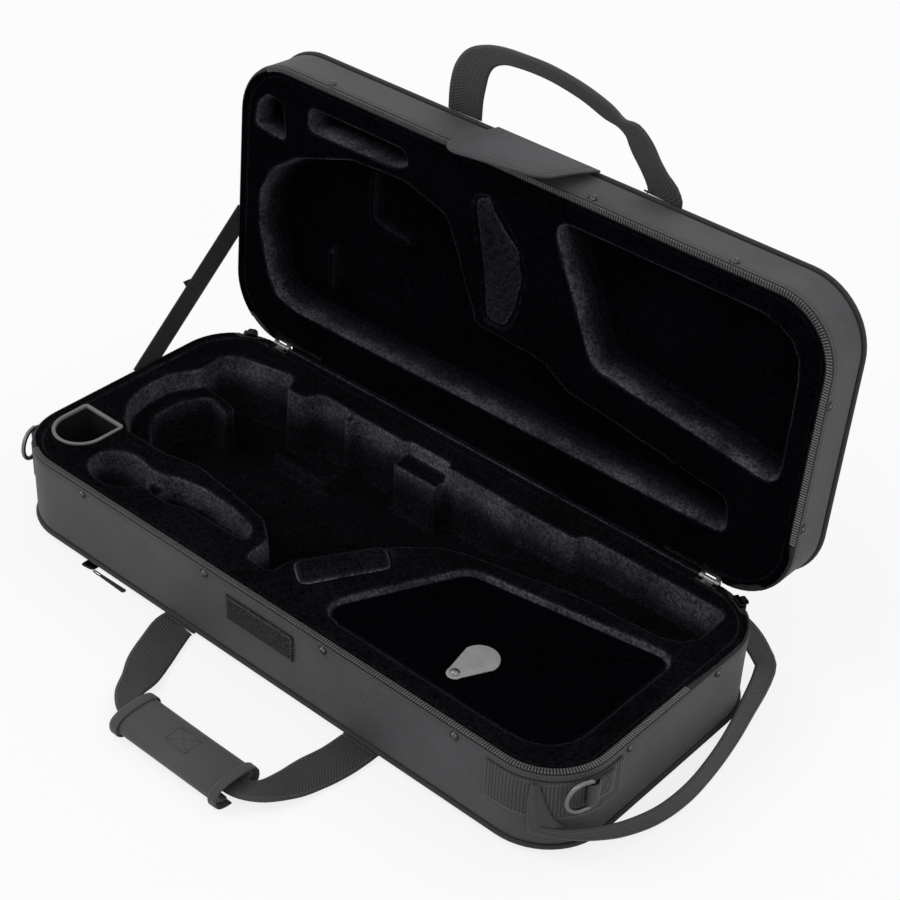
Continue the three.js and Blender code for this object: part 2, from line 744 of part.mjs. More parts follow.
// Rivets round one half, at one height
function addRivets(prefix, height, parent) {
  frontRivetShares.forEach((share, index) => {
    const centre = new THREE.Vector3(share * halfLength, -halfWidth - fitGap, height);
    addPiece(`${prefix}_front_rivet_${index + 1}`,
      rivet(centre, new THREE.Vector3(0, -1, 0)), rivetMetal, parent);
  });
  [['right', 1], ['left', -1]].forEach(([name, side]) => {
    sideRivetShares.forEach((share, index) => {
      const centre = new THREE.Vector3(side * (halfLength + fitGap), share * halfWidth, height);
      addPiece(`${prefix}_${name}_rivet_${index + 1}`,
        rivet(centre, new THREE.Vector3(side, 0, 0)), rivetMetal, parent);
    });
  });
}

// A low straight ridge between two places
function ridge(shares, low, high) {
  const [from, to] = shares.map(([x, y]) => new THREE.Vector2(x * halfLength, y * halfWidth));
  const along = to.clone().sub(from).normalize();
  const side = new THREE.Vector2(-along.y, along.x).multiplyScalar(ridgeWidth / 2);
  return prism([
    from.clone().sub(side), to.clone().sub(side), to.clone().add(side), from.clone().add(side),
  ], low, high);
}

// Outline of the reed cup: flat towards the hinge side, round towards the front
function cupOutline(grow) {
  const radius = cupWidth / 2 + grow;
  const centreX = cupCentreShares[0] * halfLength;
  const centreY = cupCentreShares[1] * halfWidth;
  const rear = centreY + cupLength / 2 + grow;
  const arcY = centreY - cupLength / 2 + cupWidth / 2;
  const points = [new THREE.Vector2(centreX + radius, rear), new THREE.Vector2(centreX - radius, rear)];
  for (let step = 0; step <= 2 * cornerSteps; step += 1) {
    const angle = Math.PI * (1 + step / (2 * cornerSteps));
    points.push(new THREE.Vector2(centreX + radius * Math.cos(angle), arcY + radius * Math.sin(angle)));
  }
  return points;
}

// Outline of the compartment panel
function panelOutline(grow) {
  const radii = panelRadiusShares.map((share) => share * cornerRadius);
  return offset(rounded(placed(panelShares), radii, cornerSteps / 2), grow);
}

// Oval for the mouthpiece
function mouthpieceOutline() {
  const points = [];
  for (let step = 0; step < roundSides; step += 1) {
    const angle = 2 * Math.PI * step / roundSides;
    points.push(new THREE.Vector2(
      (mouthpieceCentreShares[0] + mouthpieceSizeShares[0] * Math.cos(angle)) * halfLength,
      (mouthpieceCentreShares[1] + mouthpieceSizeShares[1] * Math.sin(angle)) * halfWidth,
    ));
  }
  return points;
}

// A pad whose face is crowned, rising from its root towards its crown
function pillow(outline, root, crown) {
  const towards = Math.sign(crown - root);
  const shoulder = crown - towards * padCrown;
  const middle = crown - towards * padShoulderDrop;
  return addAll(prism(outline, root, shoulder + towards * fitGap), [
    loft(outline, shoulder, drawnIn(outline, padShoulderShare), middle),
    loft(
      drawnIn(outline, padShoulderShare), middle - towards * fitGap,
      drawnIn(outline, padDrawShare), crown,
    ),
  ]);
}

// Deep recess for the body of the instrument, with its shelf, step and ridges left standing
function bodyCut(mouth) {
  const shelf = prism(rounded(placed(ledgeOuterShares), recessRadius), 0, bodyLedge)
    .subtract(prism(rounded(placed(ledgeInnerShares), recessRadius), -cutOverrun, mouth));
  const standing = [
    shelf,
    prism(placed(bodyStepShares), 0, bodyFloor + bodyStep),
    prism(placed(blockShares), 0, blockTop),
    prism(placed(wallRibShares), 0, wallRibTop),
    ...baseRidgeShares.map((shares) => ridge(shares, 0, bodyFloor + ridgeHeight)),
  ];
  const whole = draftedCut(rounded(placed(bodyRecessShares), recessRadius), bodyFloor, mouth, shallowDraft)
    .add(prism(placed(blockShares), blockTop, mouth));
  return subtractAll(whole, standing);
}

// Padded insert of the base, with every recess cut from above
function baseInsertBody() {
  const mouth = plushTop + cutOverrun;
  const padOutline = rounded(placed(padShares), recessRadius);
  const cut = (shares, radius, floor, draft) => draftedCut(
    rounded(placed(shares), radius), floor, mouth, draft);
  const body = prism(caseOutline(insertInset), insertBottom, coverTop)
    .add(prism(caseOutline(flangeInset), coverTop - flangeThickness, plushTop))
    .add(rearFlange(coverTop + fitGap, plushTop));
  return subtractAll(body, [
    bodyCut(mouth),
    cut(channelShares, recessRadius, channelFloor, shallowDraft),
    cut(shelfShares, smallRadius, channelShelf, shallowDraft),
    cut(spacerShares, smallRadius, spacerFloor, shallowDraft),
    cut(neckShares, smallRadius, neckFloor, shallowDraft),
    cut(saddleShares, smallRadius, neckSaddle, shallowDraft),
    draftedCut(mouthpieceOutline(), mouthpieceFloor, mouth, recessDraft),
    prism(cupOutline(fitGap), plushTop - cupDepth - fitGap, mouth),
    prism(panelOutline(panelGap), panelSeat, mouth),
    draftedCut(panelOutline(-panelLedge), bodyFloor, mouth, shallowDraft),
    prism(offset(padOutline, padGrooveWidth), plushTop - padGrooveDepth, mouth),
    ...hingeNotches(),
    ...leafSlots(hingeZ - leafRise - leafDepth - fitGap, mouth),
  ]).add(pillow(padOutline, plushTop - 2 * padGrooveDepth, plushTop));
}

// Edge of an insert that covers the frame between the rear ends of the zip
function rearFlange(low, high) {
  return block(
    [-hingeCentre, halfWidth - 2 * flangeInset, low],
    [hingeCentre, halfWidth - frameInset, high],
  );
}

// Padded insert of the lid in its closed place, with the recesses cut from the parting side
function lidInsertBody() {
  const mouth = lidPlush - cutOverrun;
  const padOutline = rounded(placed(lidPadShares), recessRadius);
  const cut = (outline, depth, draft) => draftedCut(outline, lidPlush + depth, mouth, draft);
  const padRoom = prism(offset(padOutline, padGrooveWidth), mouth, lidPlush + padGrooveDepth);
  const standing = lidRidgeShares.map(
    (shares) => ridge(shares, lidPlush + lidBodyDepth - lidRidgeHeight, lidInsertTop));
  const trapezeRadii = lidTrapezeRadiusShares.map((share) => share * cornerRadius);
  const body = prism(caseOutline(insertInset), 2 * partingHeight - coverTop, lidInsertTop)
    .add(prism(caseOutline(flangeInset), lidPlush, 2 * partingHeight - coverTop + flangeThickness))
    .add(rearFlange(lidPlush, 2 * partingHeight - coverTop - fitGap));
  return subtractAll(body, [
    subtractAll(cut(rounded(placed(lidBodyShares), recessRadius), lidBodyDepth, recessDraft), standing),
    cut(rounded(placed(lidTrapezeShares), trapezeRadii, cornerSteps / 2), lidTrapezeDepth, recessDraft),
    cut(rounded(placed(lidNeckShares), smallRadius), lidNeckDepth, shallowDraft),
    cut(rounded(placed(lidCupShares), smallRadius), lidCupDepth, shallowDraft),
    cut(rounded(placed(lidPocketShares), smallRadius), lidPocketDepth, shallowDraft),
    padRoom,
    ...hingeNotches(),
    ...leafSlots(mouth, hingeZ + leafRise + leafDepth + fitGap),
  ]).add(pillow(padOutline, lidInsertTop - frameThickness, lidPlush));
}

// One half of a hinge: knuckles round the axis, webs and a leaf, upwards or downwards
function hingeLeaf(side, towards, spans) {
  const centreX = side * hingeCentre;
  const near = hingeZ + towards * leafRise;
  const pieces = spans.map(([from, to]) => {
    const start = new THREE.Vector3(centreX + from, hingeY, hingeZ);
    const end = new THREE.Vector3(centreX + to, hingeY, hingeZ);
    const web = block(
      [centreX + from, leafY, near],
      [centreX + to, hingeY - pinRadius - pinClearance, near + towards * leafThickness],
    );
    return rod(start, end, knuckleRadius).add(web);
  });
  return addAll(block(
    [side * leafMiddle - leafLength / 2, leafY, near],
    [side * leafMiddle + leafLength / 2, leafY + leafThickness, near + towards * leafDepth],
  ), pieces);
}

// Both leaves of one hinge, the pin standing in the base leaf's knuckle
function addHinge(name, side) {
  const half = hingeLength / 2;
  const middle = hingeLength / 4;
  const start = new THREE.Vector3(side * hingeCentre - half, hingeY, hingeZ);
  const end = new THREE.Vector3(side * hingeCentre + half, hingeY, hingeZ);
  const overrun = new THREE.Vector3(cutOverrun, 0, 0);
  const pin = rod(start, end, pinRadius);
  const bore = rod(start.clone().sub(overrun), end.clone().add(overrun), pinRadius + pinClearance);
  const outer = [[-half, -middle - knuckleGap], [middle + knuckleGap, half]];
  addPiece(`hinge_${name}_base_leaf`, hingeLeaf(side, -1, [[-middle, middle]]).add(pin), steel);
  addPiece(`hinge_${name}_lid_leaf`, hingeLeaf(side, 1, outer).subtract(bore), steel, lid);
}

// Webbing band round a front corner, which starts further round on the left
function cornerBand(side) {
  const ring = caseRing(-fitGap - webbingThickness, -fitGap, bandLow, bandTop);
  const frontShare = side > 0 ? bandFrontShare : leftBandFrontShare;
  return ring.intersect(block(
    [side * frontShare * halfLength, -bandSideShare * halfWidth, bandLow - cutOverrun],
    [side * (halfLength + webbingWidth), -halfWidth - webbingWidth, bandTop + cutOverrun],
  ));
}

// Where the D-ring's bar stands, and the ways out and forwards from it
function ringFrame(side) {
  const angle = THREE.MathUtils.degToRad(ringDegrees);
  const out = new THREE.Vector3(side * Math.cos(angle), -Math.sin(angle), 0);
  const forward = new THREE.Vector3(-side * Math.sin(angle), -Math.cos(angle), 0);
  const stand = cornerRadius + 2 * fitGap + webbingThickness + keeperWall + ringClearance + ringWire / 2;
  const bar = new THREE.Vector3(side * arcCentreX, -arcCentreY, ringMiddle).addScaledVector(out, stand);
  return { bar, out, forward };
}

// D-ring: a straight bar and a round bow
function dRing(side) {
  const { bar, out, forward } = ringFrame(side);
  const half = (ringHeight - ringWire) / 2;
  const reach = ringReach - ringWire;
  const corners = [[0, -half], [reach, -half], [reach, half], [0, half]];
  const outline = rounded(corners.map(([x, y]) => new THREE.Vector2(x, y)),
    [ringCorner, half, half, ringCorner], cornerSteps / 2);
  const path = outline.map((point) => bar.clone()
    .addScaledVector(forward, point.x)
    .add(new THREE.Vector3(0, 0, point.y)));
  return closedTube(path, out, ringWire / 2, pipingSides);
}

// Webbing loop round the bar, with a tail sewn to the band behind it
function ringKeeper(side) {
  const { bar } = ringFrame(side);
  const half = ringHeight / 2 - ringWire - 2 * ringClearance;
  const inner = ringWire / 2 + ringClearance;
  const from = bar.clone().add(new THREE.Vector3(0, 0, -half));
  const to = bar.clone().add(new THREE.Vector3(0, 0, half));
  const overrun = new THREE.Vector3(0, 0, cutOverrun);
  const near = -2 * fitGap - webbingThickness;
  const tail = caseRing(near - keeperWall, near, ringMiddle - half, ringMiddle + half).intersect(block(
    [bar.x - side * (inner + keeperWall), bar.y, 0],
    [bar.x + side * (inner + keeperWall), bar.y + keeperTail, partingHeight],
  ));
  return rod(from, to, inner + keeperWall).add(tail)
    .subtract(rod(from.sub(overrun), to.add(overrun), inner))
    .subtract(prism(caseOutline(near), 0, partingHeight));
}

// Controls of a carrying handle that starts at its pivot line and reaches forwards
function handleControls(shares, reach, rise) {
  return shares.map(([spread, far, up, width, layers]) => ({
    place: new THREE.Vector3(
      handleMiddle + spread * handleSpread,
      handleRootBack - far * (reach + handleRootBack),
      up * rise,
    ),
    width: width * webbingWidth,
    thickness: layers * webbingThickness,
  }));
}

const upwards = () => new THREE.Vector3(0, 0, 1);

// Padded wrap round the base handle's grip, open along its underside
function gripWrap() {
  const outer = roundedRectangle(gripWidth, gripThickness, gripThickness / 2 - fitGap, cornerSteps / 2);
  const inner = roundedRectangle(gripHoleWidth, gripHoleHeight, gripHoleHeight / 2 - fitGap, holeSteps);
  const long = prism(outer, 0, gripLength);
  const hole = prism(inner, -cutOverrun, gripLength + cutOverrun);
  const slit = block(
    [-gripSlit / 2, -gripThickness, -cutOverrun],
    [gripSlit / 2, 0, gripLength + cutOverrun],
  );
  return long.subtract(hole).subtract(slit);
}

// Base handle: anchors sewn under the front seam, the webbing on the floor and the padded wrap
function addBaseHandle() {
  const legHeight = anchorTop - webbingThickness / 2;
  const gripHeight = floorGap + gripThickness / 2;
  [['left', -1], ['right', 1]].forEach(([name, side]) => {
    const centre = handleMiddle + side * handleSpread;
    const front = -halfWidth - pipingReach - floorGap;
    addPiece(`base_handle_anchor_${name}`, block(
      [centre - webbingWidth / 2, front, anchorTop - webbingThickness],
      [centre + webbingWidth / 2, front + anchorLength, anchorTop],
    ), webbing);
  });
  const group = new THREE.Group();
  group.position.set(0, -handlePivot, legHeight);
  product.add(group);
  const rise = gripHeight - legHeight;
  const path = handleControls(baseHandleShares, baseHandleReach, rise);
  addPiece('base_handle', strap(path, upwards), webbing, group);
  const wrapGroup = new THREE.Group();
  wrapGroup.position.set(
    handleMiddle + gripShiftShare * handleSpread - gripLength / 2, -baseHandleReach, gripHeight - legHeight);
  wrapGroup.rotation.set(Math.PI / 2, Math.PI / 2, 0);
  group.add(wrapGroup);
  addPiece('handle_wrap', gripWrap(), gripCloth, wrapGroup);
}

// Handle and flap on the lid's front seam
function addLidFront() {
  const handle = new THREE.Group();
  handle.position.set(0, -handlePivot, lidSeam);
  handle.rotation.x = lidOpen - Math.PI / 2;
  lid.add(handle);
  addPiece('lid_handle', strap(handleControls(lidHandleShares, lidHandleReach, 0), upwards), webbing, handle);
  const flap = new THREE.Group();
  flap.position.set(flapCentreShare * halfLength, -flapPivot, lidSeam);
  flap.rotation.x = -THREE.MathUtils.degToRad(flapLiftDegrees);
  lid.add(flap);
  addPiece('front_flap',
    sheet(flapRows, flapColumns, flapPoint, new THREE.Vector3(0, flapThickness / 2, 0)), nylon, flap);
}

// Middle of the flap's cloth: it bows outwards towards the right and drifts to the left as it hangs
function flapPoint(across, down) {
  const beyond = Math.max(down * flapLength - flapLength + flapCorner, 0);
  const inFrom = flapCorner - Math.sqrt(Math.max(flapCorner ** 2 - beyond ** 2, 0));
  const halfSpan = flapWidth / 2 - inFrom;
  const bow = flapBow * across * Math.sin(Math.PI * down / 2);
  return new THREE.Vector3(
    (2 * across - 1) * halfSpan - flapDrift * down,
    -bow,
    handleRootBack - down * flapLength,
  );
}

// Handle on the right end, from the front corner round to the rear
function endHandle() {
  const controls = endHandleShares.map(([out, across, up]) => ({
    place: new THREE.Vector3(
      endHandleRoot + out * endHandleReach,
      across * halfWidth,
      endHandleLow + up * (bandMiddle - endHandleLow),
    ),
    width: endHandleHeight,
    thickness: THREE.MathUtils.lerp(endHandleThickness, webbingThickness,
      Math.max(up - endHandleThinShare, 0) / (1 - endHandleThinShare)),
  }));
  return strap(controls, (along) => along.clone().cross(new THREE.Vector3(0, 0, 1)));
}

// Stay strap outside the left wall, straight and taut from the base to the open lid
function stayStrap() {
  const x = -halfLength - fitGap - stayThickness / 2;
  const low = new THREE.Vector3(x, stayBaseShare * halfWidth, coverTop - stayOverlap);
  const lidEnd = 2 * partingHeight - coverTop + stayOverlap;
  const closedHigh = new THREE.Vector3(x, stayLidShare * halfWidth, lidEnd);
  const pivot = new THREE.Vector3(x, hingeY, hingeZ);
  const high = closedHigh.sub(pivot).applyAxisAngle(new THREE.Vector3(1, 0, 0), -lidOpen).add(pivot);
  const controls = [low, high].map((place) => ({ place, width: stayWidth, thickness: stayThickness }));
  return strap(controls, () => new THREE.Vector3(1, 0, 0));
}

// Leather tab: a teardrop from the stud towards the middle of the panel
function tabOutline() {
  const points = [];
  const wide = tabWidth / 2;
  const narrow = tabTipWidth / 2;
  for (let step = 0; step <= cornerSteps; step += 1) {
    const angle = Math.PI * step / cornerSteps;
    points.push(new THREE.Vector2(
      wide * Math.cos(angle),
      tabLength - narrow - wide + wide * Math.sin(angle),
    ));
  }
  for (let step = 0; step <= cornerSteps; step += 1) {
    const angle = Math.PI * (1 + step / cornerSteps);
    points.push(new THREE.Vector2(narrow * Math.cos(angle), narrow * Math.sin(angle)));
  }
  return points;
}

// Compartment panel with the tab and its stud
function addPanel() {
  const place = [tabStudShares[0] * halfLength, tabStudShares[1] * halfWidth];
  const turn = [0, 0, -tabTurnDegrees];
  const tab = prism(tabOutline(), panelTop + fitGap, panelTop + fitGap + tabThickness)
    .rotate(turn).translate([...place, 0]);
  const stud = new THREE.Vector3(...place, panelTop + 2 * fitGap + tabThickness);
  addPiece('compartment_panel', prism(panelOutline(0), panelSeat + fitGap, panelTop), plush);
  addPiece('pull_tab', tab, leather);
  addPiece('pull_tab_stud', rivet(stud, upwards(), tabStudRadius, tabStudHeight), rivetMetal);
}

// Reed cup with a rim that lies on the plush
function reedCup() {
  const rim = prism(cupOutline(cupRimWidth), plushTop + fitGap, plushTop + fitGap + cupRimHeight);
  const outside = prism(cupOutline(0), plushTop - cupDepth, plushTop + cupRimHeight);
  const floor = plushTop - cupDepth + cupWall;
  const inside = prism(cupOutline(-cupWall), floor, plushTop + cutOverrun + cupRimHeight);
  return outside.add(rim).subtract(inside);
}

// Parked zip slider and its hanging pull at one rear corner
function addZipSlider(name, side) {
  const angle = THREE.MathUtils.degToRad(sliderDegrees);
  const group = new THREE.Group();
  group.position.set(side * arcCentreX, arcCentreY, 0);
  group.rotation.z = -side * angle;
  product.add(group);
  const outside = cornerRadius - zipInset;
  const pivotY = cornerRadius + pullOut;
  const pivotZ = partingHeight;
  const half = sliderLength / 2;
  const lug = pullWidth / 2 + fitGap;
  const axis = (reach) => [
    new THREE.Vector3(-reach, pivotY, pivotZ),
    new THREE.Vector3(reach, pivotY, pivotZ),
  ];
  const lugs = [-1, 1].map((way) => block(
    [way * lug, outside - zipCoilWidth / 2, coilHigh],
    [way * (lug + sliderLug), pivotY + pullPin, pivotZ + pullPin],
  ));
  const body = block([-half, outside - zipCoilWidth, coilLow], [half, outside, 2 * partingHeight - coilLow]);
  addPiece(`zip_slider_${name}`,
    addAll(body, [...lugs, rod(...axis(lug + sliderLug), pullPin, pipingSides)]), steel, group);
  const knuckle = rod(...axis(pullWidth / 2), pullKnuckle, pullSides);
  const plate = block(
    [-pullWidth / 2, pivotY - pullThickness / 2, pivotZ - pullLength],
    [pullWidth / 2, pivotY + pullThickness / 2, pivotZ],
  );
  addPiece(`zip_pull_${name}`,
    knuckle.add(plate).subtract(rod(...axis(pullWidth), pullPin + pullClearance, pipingSides)), steel, group);
}

// Flat pocket under the base: panel, zip, slider and pull
function addPocket() {
  const zipRear = -pocketFront - 2 * fitGap;
  const zipFront = zipRear - pocketZipWidth;
  addPiece('pocket_panel', prism(caseOutline(pocketInset), 0, footGap - fitGap), nylon);
  addPiece('pocket_zip', block(
    [-pocketZipReach, zipFront, anchorTop - webbingThickness],
    [pocketZipReach, zipRear, anchorTop],
  ), zipTeeth);
  const half = pocketSliderLength / 2;
  const front = zipRear - pocketSliderWidth;
  addPiece('pocket_slider', block(
    [pocketSliderPlace - half, front, pocketSliderLow],
    [pocketSliderPlace + half, zipRear, pocketSliderLow + pocketSliderHeight],
  ), steel);
  const pullStart = pocketSliderPlace + half + fitGap;
  addPiece('pocket_pull', block(
    [pullStart, front, pocketSliderLow],
    [pullStart + pocketPullLength, front + pocketPullWidth, pocketSliderLow + pocketPullThickness],
  ), webbing);
}

// Base shell, insert and fittings
function addBase() {
  addPiece('base_cover', coverBody(footGap, coverTop, rearRim), nylon);
  addPiece('base_frame', frameBody(frameBottom, coverTop), board);
  addPiece('base_insert', baseInsertBody(), plush);
  addPiece('base_piping', piping(footGap + pipingRadius, pipingRadius), webbing);
  addZip('base', [tapeLow, tapeHigh], [coilLow, coilHigh], product);
  addPiece('hook_patch', block(
    [patchCentreShare * halfLength - patchLength / 2, -halfWidth - fitGap, patchMiddle - patchHeight / 2],
    [patchCentreShare * halfLength + patchLength / 2, -halfWidth - fitGap - patchThickness,
      patchMiddle + patchHeight / 2],
  ), hookTape);
  addPiece('reed_cup', reedCup(), cupPlastic);
  addRivets('base', coverTop - rivetDrop, product);
  [['right', 1], ['left', -1]].forEach(([name, side]) => {
    addPiece(`corner_band_${name}`, cornerBand(side), webbing);
    addPiece(`ring_keeper_${name}`, ringKeeper(side), webbing);
    addPiece(`d_ring_${name}`, dRing(side), ringMetal);
    addHinge(name, side);
    addZipSlider(name, side);
  });
}

// Lid shell, insert and fittings, mirrored about the parting plane in height
function addLid() {
  const mirrored = (height) => 2 * partingHeight - height;
  addPiece('lid_cover', coverBody(lidTop, mirrored(coverTop), mirrored(rearRim)), nylon, lid);
  addPiece('lid_frame', frameBody(lidTop - coverThickness - fitGap, mirrored(coverTop)), board, lid);
  addPiece('lid_insert', lidInsertBody(), plush, lid);
  addPiece('lid_piping', piping(lidSeam, pipingRadius), webbing, lid);
  addZip('lid', [mirrored(tapeHigh), mirrored(tapeLow)], [mirrored(coilHigh), mirrored(coilLow)], lid);
  addRivets('lid', mirrored(coverTop - rivetDrop), lid);
}

addBase();
addPocket();
addPanel();
addBaseHandle();
addPiece('end_handle', endHandle(), webbing);
addPiece('stay_strap', stayStrap(), webbing);
addLid();
addLidFront();

export default product;
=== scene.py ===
"""Dresses the alto saxophone case: woven covers, plush inserts, webbing, zips and metal fittings."""
import math

import bmesh
import bpy
import numpy as np
from mathutils import Matrix, Vector
from mathutils import noise as fractal


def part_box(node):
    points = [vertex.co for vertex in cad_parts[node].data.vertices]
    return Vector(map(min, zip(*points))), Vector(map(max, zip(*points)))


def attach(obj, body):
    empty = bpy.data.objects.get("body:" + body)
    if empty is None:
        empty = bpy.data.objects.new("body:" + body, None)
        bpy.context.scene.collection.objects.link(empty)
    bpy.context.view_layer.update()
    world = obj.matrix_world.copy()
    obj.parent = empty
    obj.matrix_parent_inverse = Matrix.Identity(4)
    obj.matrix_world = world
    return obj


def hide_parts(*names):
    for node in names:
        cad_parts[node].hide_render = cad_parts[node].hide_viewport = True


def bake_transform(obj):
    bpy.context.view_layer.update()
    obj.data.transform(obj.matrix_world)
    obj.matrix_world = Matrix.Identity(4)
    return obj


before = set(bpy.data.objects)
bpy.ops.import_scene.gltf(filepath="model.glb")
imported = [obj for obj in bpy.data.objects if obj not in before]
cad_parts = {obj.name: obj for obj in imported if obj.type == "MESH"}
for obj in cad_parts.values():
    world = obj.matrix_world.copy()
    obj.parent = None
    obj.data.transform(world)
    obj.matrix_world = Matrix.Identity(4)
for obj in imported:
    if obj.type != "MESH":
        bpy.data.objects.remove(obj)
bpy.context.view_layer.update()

MM = 0.001

# Camera, fitted to the photograph: degrees, metres, and the focal length as a share of the image
CAMERA_AZIMUTH = 39.586
CAMERA_ELEVATION = 35.874
CAMERA_ROLL = 2.986
CAMERA_DISTANCE = 1.6918
CAMERA_TARGET = (0.0228, 0.0693, 0.1365)
CAMERA_FOCAL_SHARE = 1979.2 / 900
SENSOR_WIDTH = 36

# Sizes of the case in millimetres, the same as in the part's source
HALF_LENGTH = 320
HALF_WIDTH = 141
SLIDER_X = 287.5  # the zip's sliders, on the rear arcs
CORNER_RADIUS = 58
PARTING = 85.5
LID_TOP = 135.5
FOOT_GAP = 4.3
COVER_TOP = 82
PLUSH_TOP = 83
LID_PLUSH = 87
LID_CROWN = 2.2
PANEL_TOP = 78.5
PANEL_THICKNESS = 5
HINGE_Y = 140
HINGE_Z = 83.5
HINGE_CENTRE = 252
HINGE_LENGTH = 20
LID_OPEN = math.radians(93.4)
PIPING_RADIUS = 2.3
PIPING_INSET = 0.5
HANDLE_PIVOT = 144
HANDLE_MIDDLE = 13.4
HANDLE_SPREAD = 106.7
WEBBING_WIDTH = 38
WEBBING_THICKNESS = 1.5
ARC_X = HALF_LENGTH - CORNER_RADIUS
ARC_Y = HALF_WIDTH - CORNER_RADIUS
SQUARE = ((-1, -1), (1, -1), (1, 1), (-1, 1))

# How finely the pieces are cut
CORNER_STEPS = 14
STRAIGHT_STEP = 9
PLUSH_VOXEL = 2.4
PAD_VOXEL = 3.2
PAD_SWELL = 1.2
WRAP_SWELL = 1.6
CLOTH_FRAMES = 20
CLOTH_PRESSURE = 4


def node(tree, kind, inputs=None, **settings):
    """A shader node with its settings and inputs; an input given as a socket is linked."""
    made = tree.nodes.new(kind)
    for name, value in settings.items():
        setattr(made, name, value)
    for name, value in (inputs or {}).items():
        if isinstance(value, bpy.types.NodeSocket):
            tree.links.new(value, made.inputs[name])
        else:
            made.inputs[name].default_value = value
    return made


def math_node(tree, operation, first, second=0.0):
    """One arithmetic step between two sockets or numbers."""
    return node(tree, "ShaderNodeMath", {0: first, 1: second}, operation=operation).outputs[0]


def mapped(tree, value, start=0.0, stop=1.0, low=0.0, high=1.0):
    """A value spread from one range to another and held at the ends."""
    return node(tree, "ShaderNodeMapRange", {"Value": value, "From Min": start, "From Max": stop,
                                             "To Min": low, "To Max": high}).outputs["Result"]


def dressed(tree, shader, colour, normal, values):
    """Sets plain values on a shader's sockets, and links its colour and its bumps."""
    for name, value in values.items():
        shader.inputs[name].default_value = value
    tree.links.new(colour, shader.inputs["Base Color"])
    tree.links.new(normal, shader.inputs["Normal"])


def shade(value):
    """A grey or coloured sRGB value, 0 to 255, as the linear colour that a node takes."""
    numbers = (value, value, value) if isinstance(value, (int, float)) else value
    linear = [(x / 255 / 12.92) if x < 11 else ((x / 255 + 0.055) / 1.055) ** 2.4 for x in numbers]
    return (*linear, 1.0)


def new_material(name):
    """A material whose only nodes are a principled shader and the output."""
    made = bpy.data.materials.new(name)
    made.use_nodes = True
    tree = made.node_tree
    return made, tree, tree.nodes["Principled BSDF"]


def object_place(tree):
    """Object coordinates, which move with the piece."""
    return node(tree, "ShaderNodeTexCoord").outputs["Object"]


def noise(tree, place, scale, detail=3.0, roughness=0.55):
    """Fractal noise from 0 to 1."""
    made = node(tree, "ShaderNodeTexNoise", {"Vector": place, "Scale": scale, "Detail": detail,
                                             "Roughness": roughness})
    return made.outputs["Fac"]


def ramp(tree, factor, stops):
    """A colour ramp from (position, sRGB value) stops."""
    made = node(tree, "ShaderNodeValToRGB", {"Fac": factor})
    elements = made.color_ramp.elements
    while len(elements) < len(stops):
        elements.new(0.5)
    for element, (position, value) in zip(elements, stops):
        element.position = position
        element.color = shade(value)
    return made.outputs["Color"]


def tinted(tree, colour, factor, low, high):
    """A colour made darker and lighter by a factor that runs from 0 to 1."""
    return scaled(tree, colour, mapped(tree, factor, low=low, high=high))


def bump(tree, height, strength, distance, normal=None):
    """A bump from a height; distance is in metres."""
    inputs = {"Height": height, "Strength": strength, "Distance": distance}
    if normal is not None:
        inputs["Normal"] = normal
    return node(tree, "ShaderNodeBump", inputs).outputs["Normal"]


def run_place(tree):
    """Distance along a strip and across it, in metres, from the piece's own UV map."""
    place = node(tree, "ShaderNodeUVMap", uv_map="Run").outputs["UV"]
    split = node(tree, "ShaderNodeSeparateXYZ", {"Vector": place})
    return split.outputs["X"], split.outputs["Y"]


def wave(tree, place, pitch):
    """A sine of a distance, from -1 to 1, that repeats at a pitch in metres."""
    return math_node(tree, "SINE", math_node(tree, "MULTIPLY", place, 2 * math.pi / pitch))


def blended(tree, first, second, share):
    """Two values added, with a share of the second."""
    return math_node(tree, "ADD", math_node(tree, "MULTIPLY", first, 1 - share),
                     math_node(tree, "MULTIPLY", second, share))


def woven(name, stops, pitch, roughness, sheen, height, wear=0.12):
    """Plain woven cloth: threads, a slow change of colour and a soft sheen."""
    made, tree, shader = new_material(name)
    place = object_place(tree)
    along, across = run_place(tree)
    crossed = math_node(tree, "MULTIPLY", wave(tree, along, pitch), wave(tree, across, pitch))
    threads = mapped(tree, crossed, start=-1.0)
    slow = ramp(tree, noise(tree, place, 14, 4), stops)
    grain = sharpened(tree, noise(tree, place, 560, 3, 0.7), 0, 1)
    mixed = blended(tree, threads, grain, 0.4)
    dressed(tree, shader, tinted(tree, slow, mixed, 1 - wear, 1 + wear), bump(tree, mixed, 0.55, height),
            {"Roughness": roughness, "Sheen Weight": sheen, "Sheen Roughness": 0.45,
             "Specular IOR Level": 0.35})
    return made


def webbing_cloth(name, stops, pitch=0.0028, slope=0.9, contrast=(0.5, 1.4), row_share=0.35):
    """Twill webbing: slanted ribs that turn back in the middle, with firm edges."""
    made, tree, shader = new_material(name)
    place = object_place(tree)
    along, across = run_place(tree)
    folded = math_node(tree, "ABSOLUTE", across)
    slant = math_node(tree, "ADD", along, math_node(tree, "MULTIPLY", folded, slope))
    ribs = mapped(tree, wave(tree, slant, pitch), start=-1.0)
    rows = mapped(tree, wave(tree, across, pitch), start=-1.0)
    height = blended(tree, ribs, rows, row_share)
    slow = ramp(tree, noise(tree, place, 22, 4), stops)
    fibre = noise(tree, place, 1400, 2)
    colour = tinted(tree, tinted(tree, slow, height, *contrast), fibre, 0.85, 1.15)
    dressed(tree, shader, colour, bump(tree, height, 0.6, 0.0005),
            {"Roughness": 0.62, "Sheen Weight": 0.12, "Sheen Roughness": 0.4, "Specular IOR Level": 0.4})
    return made


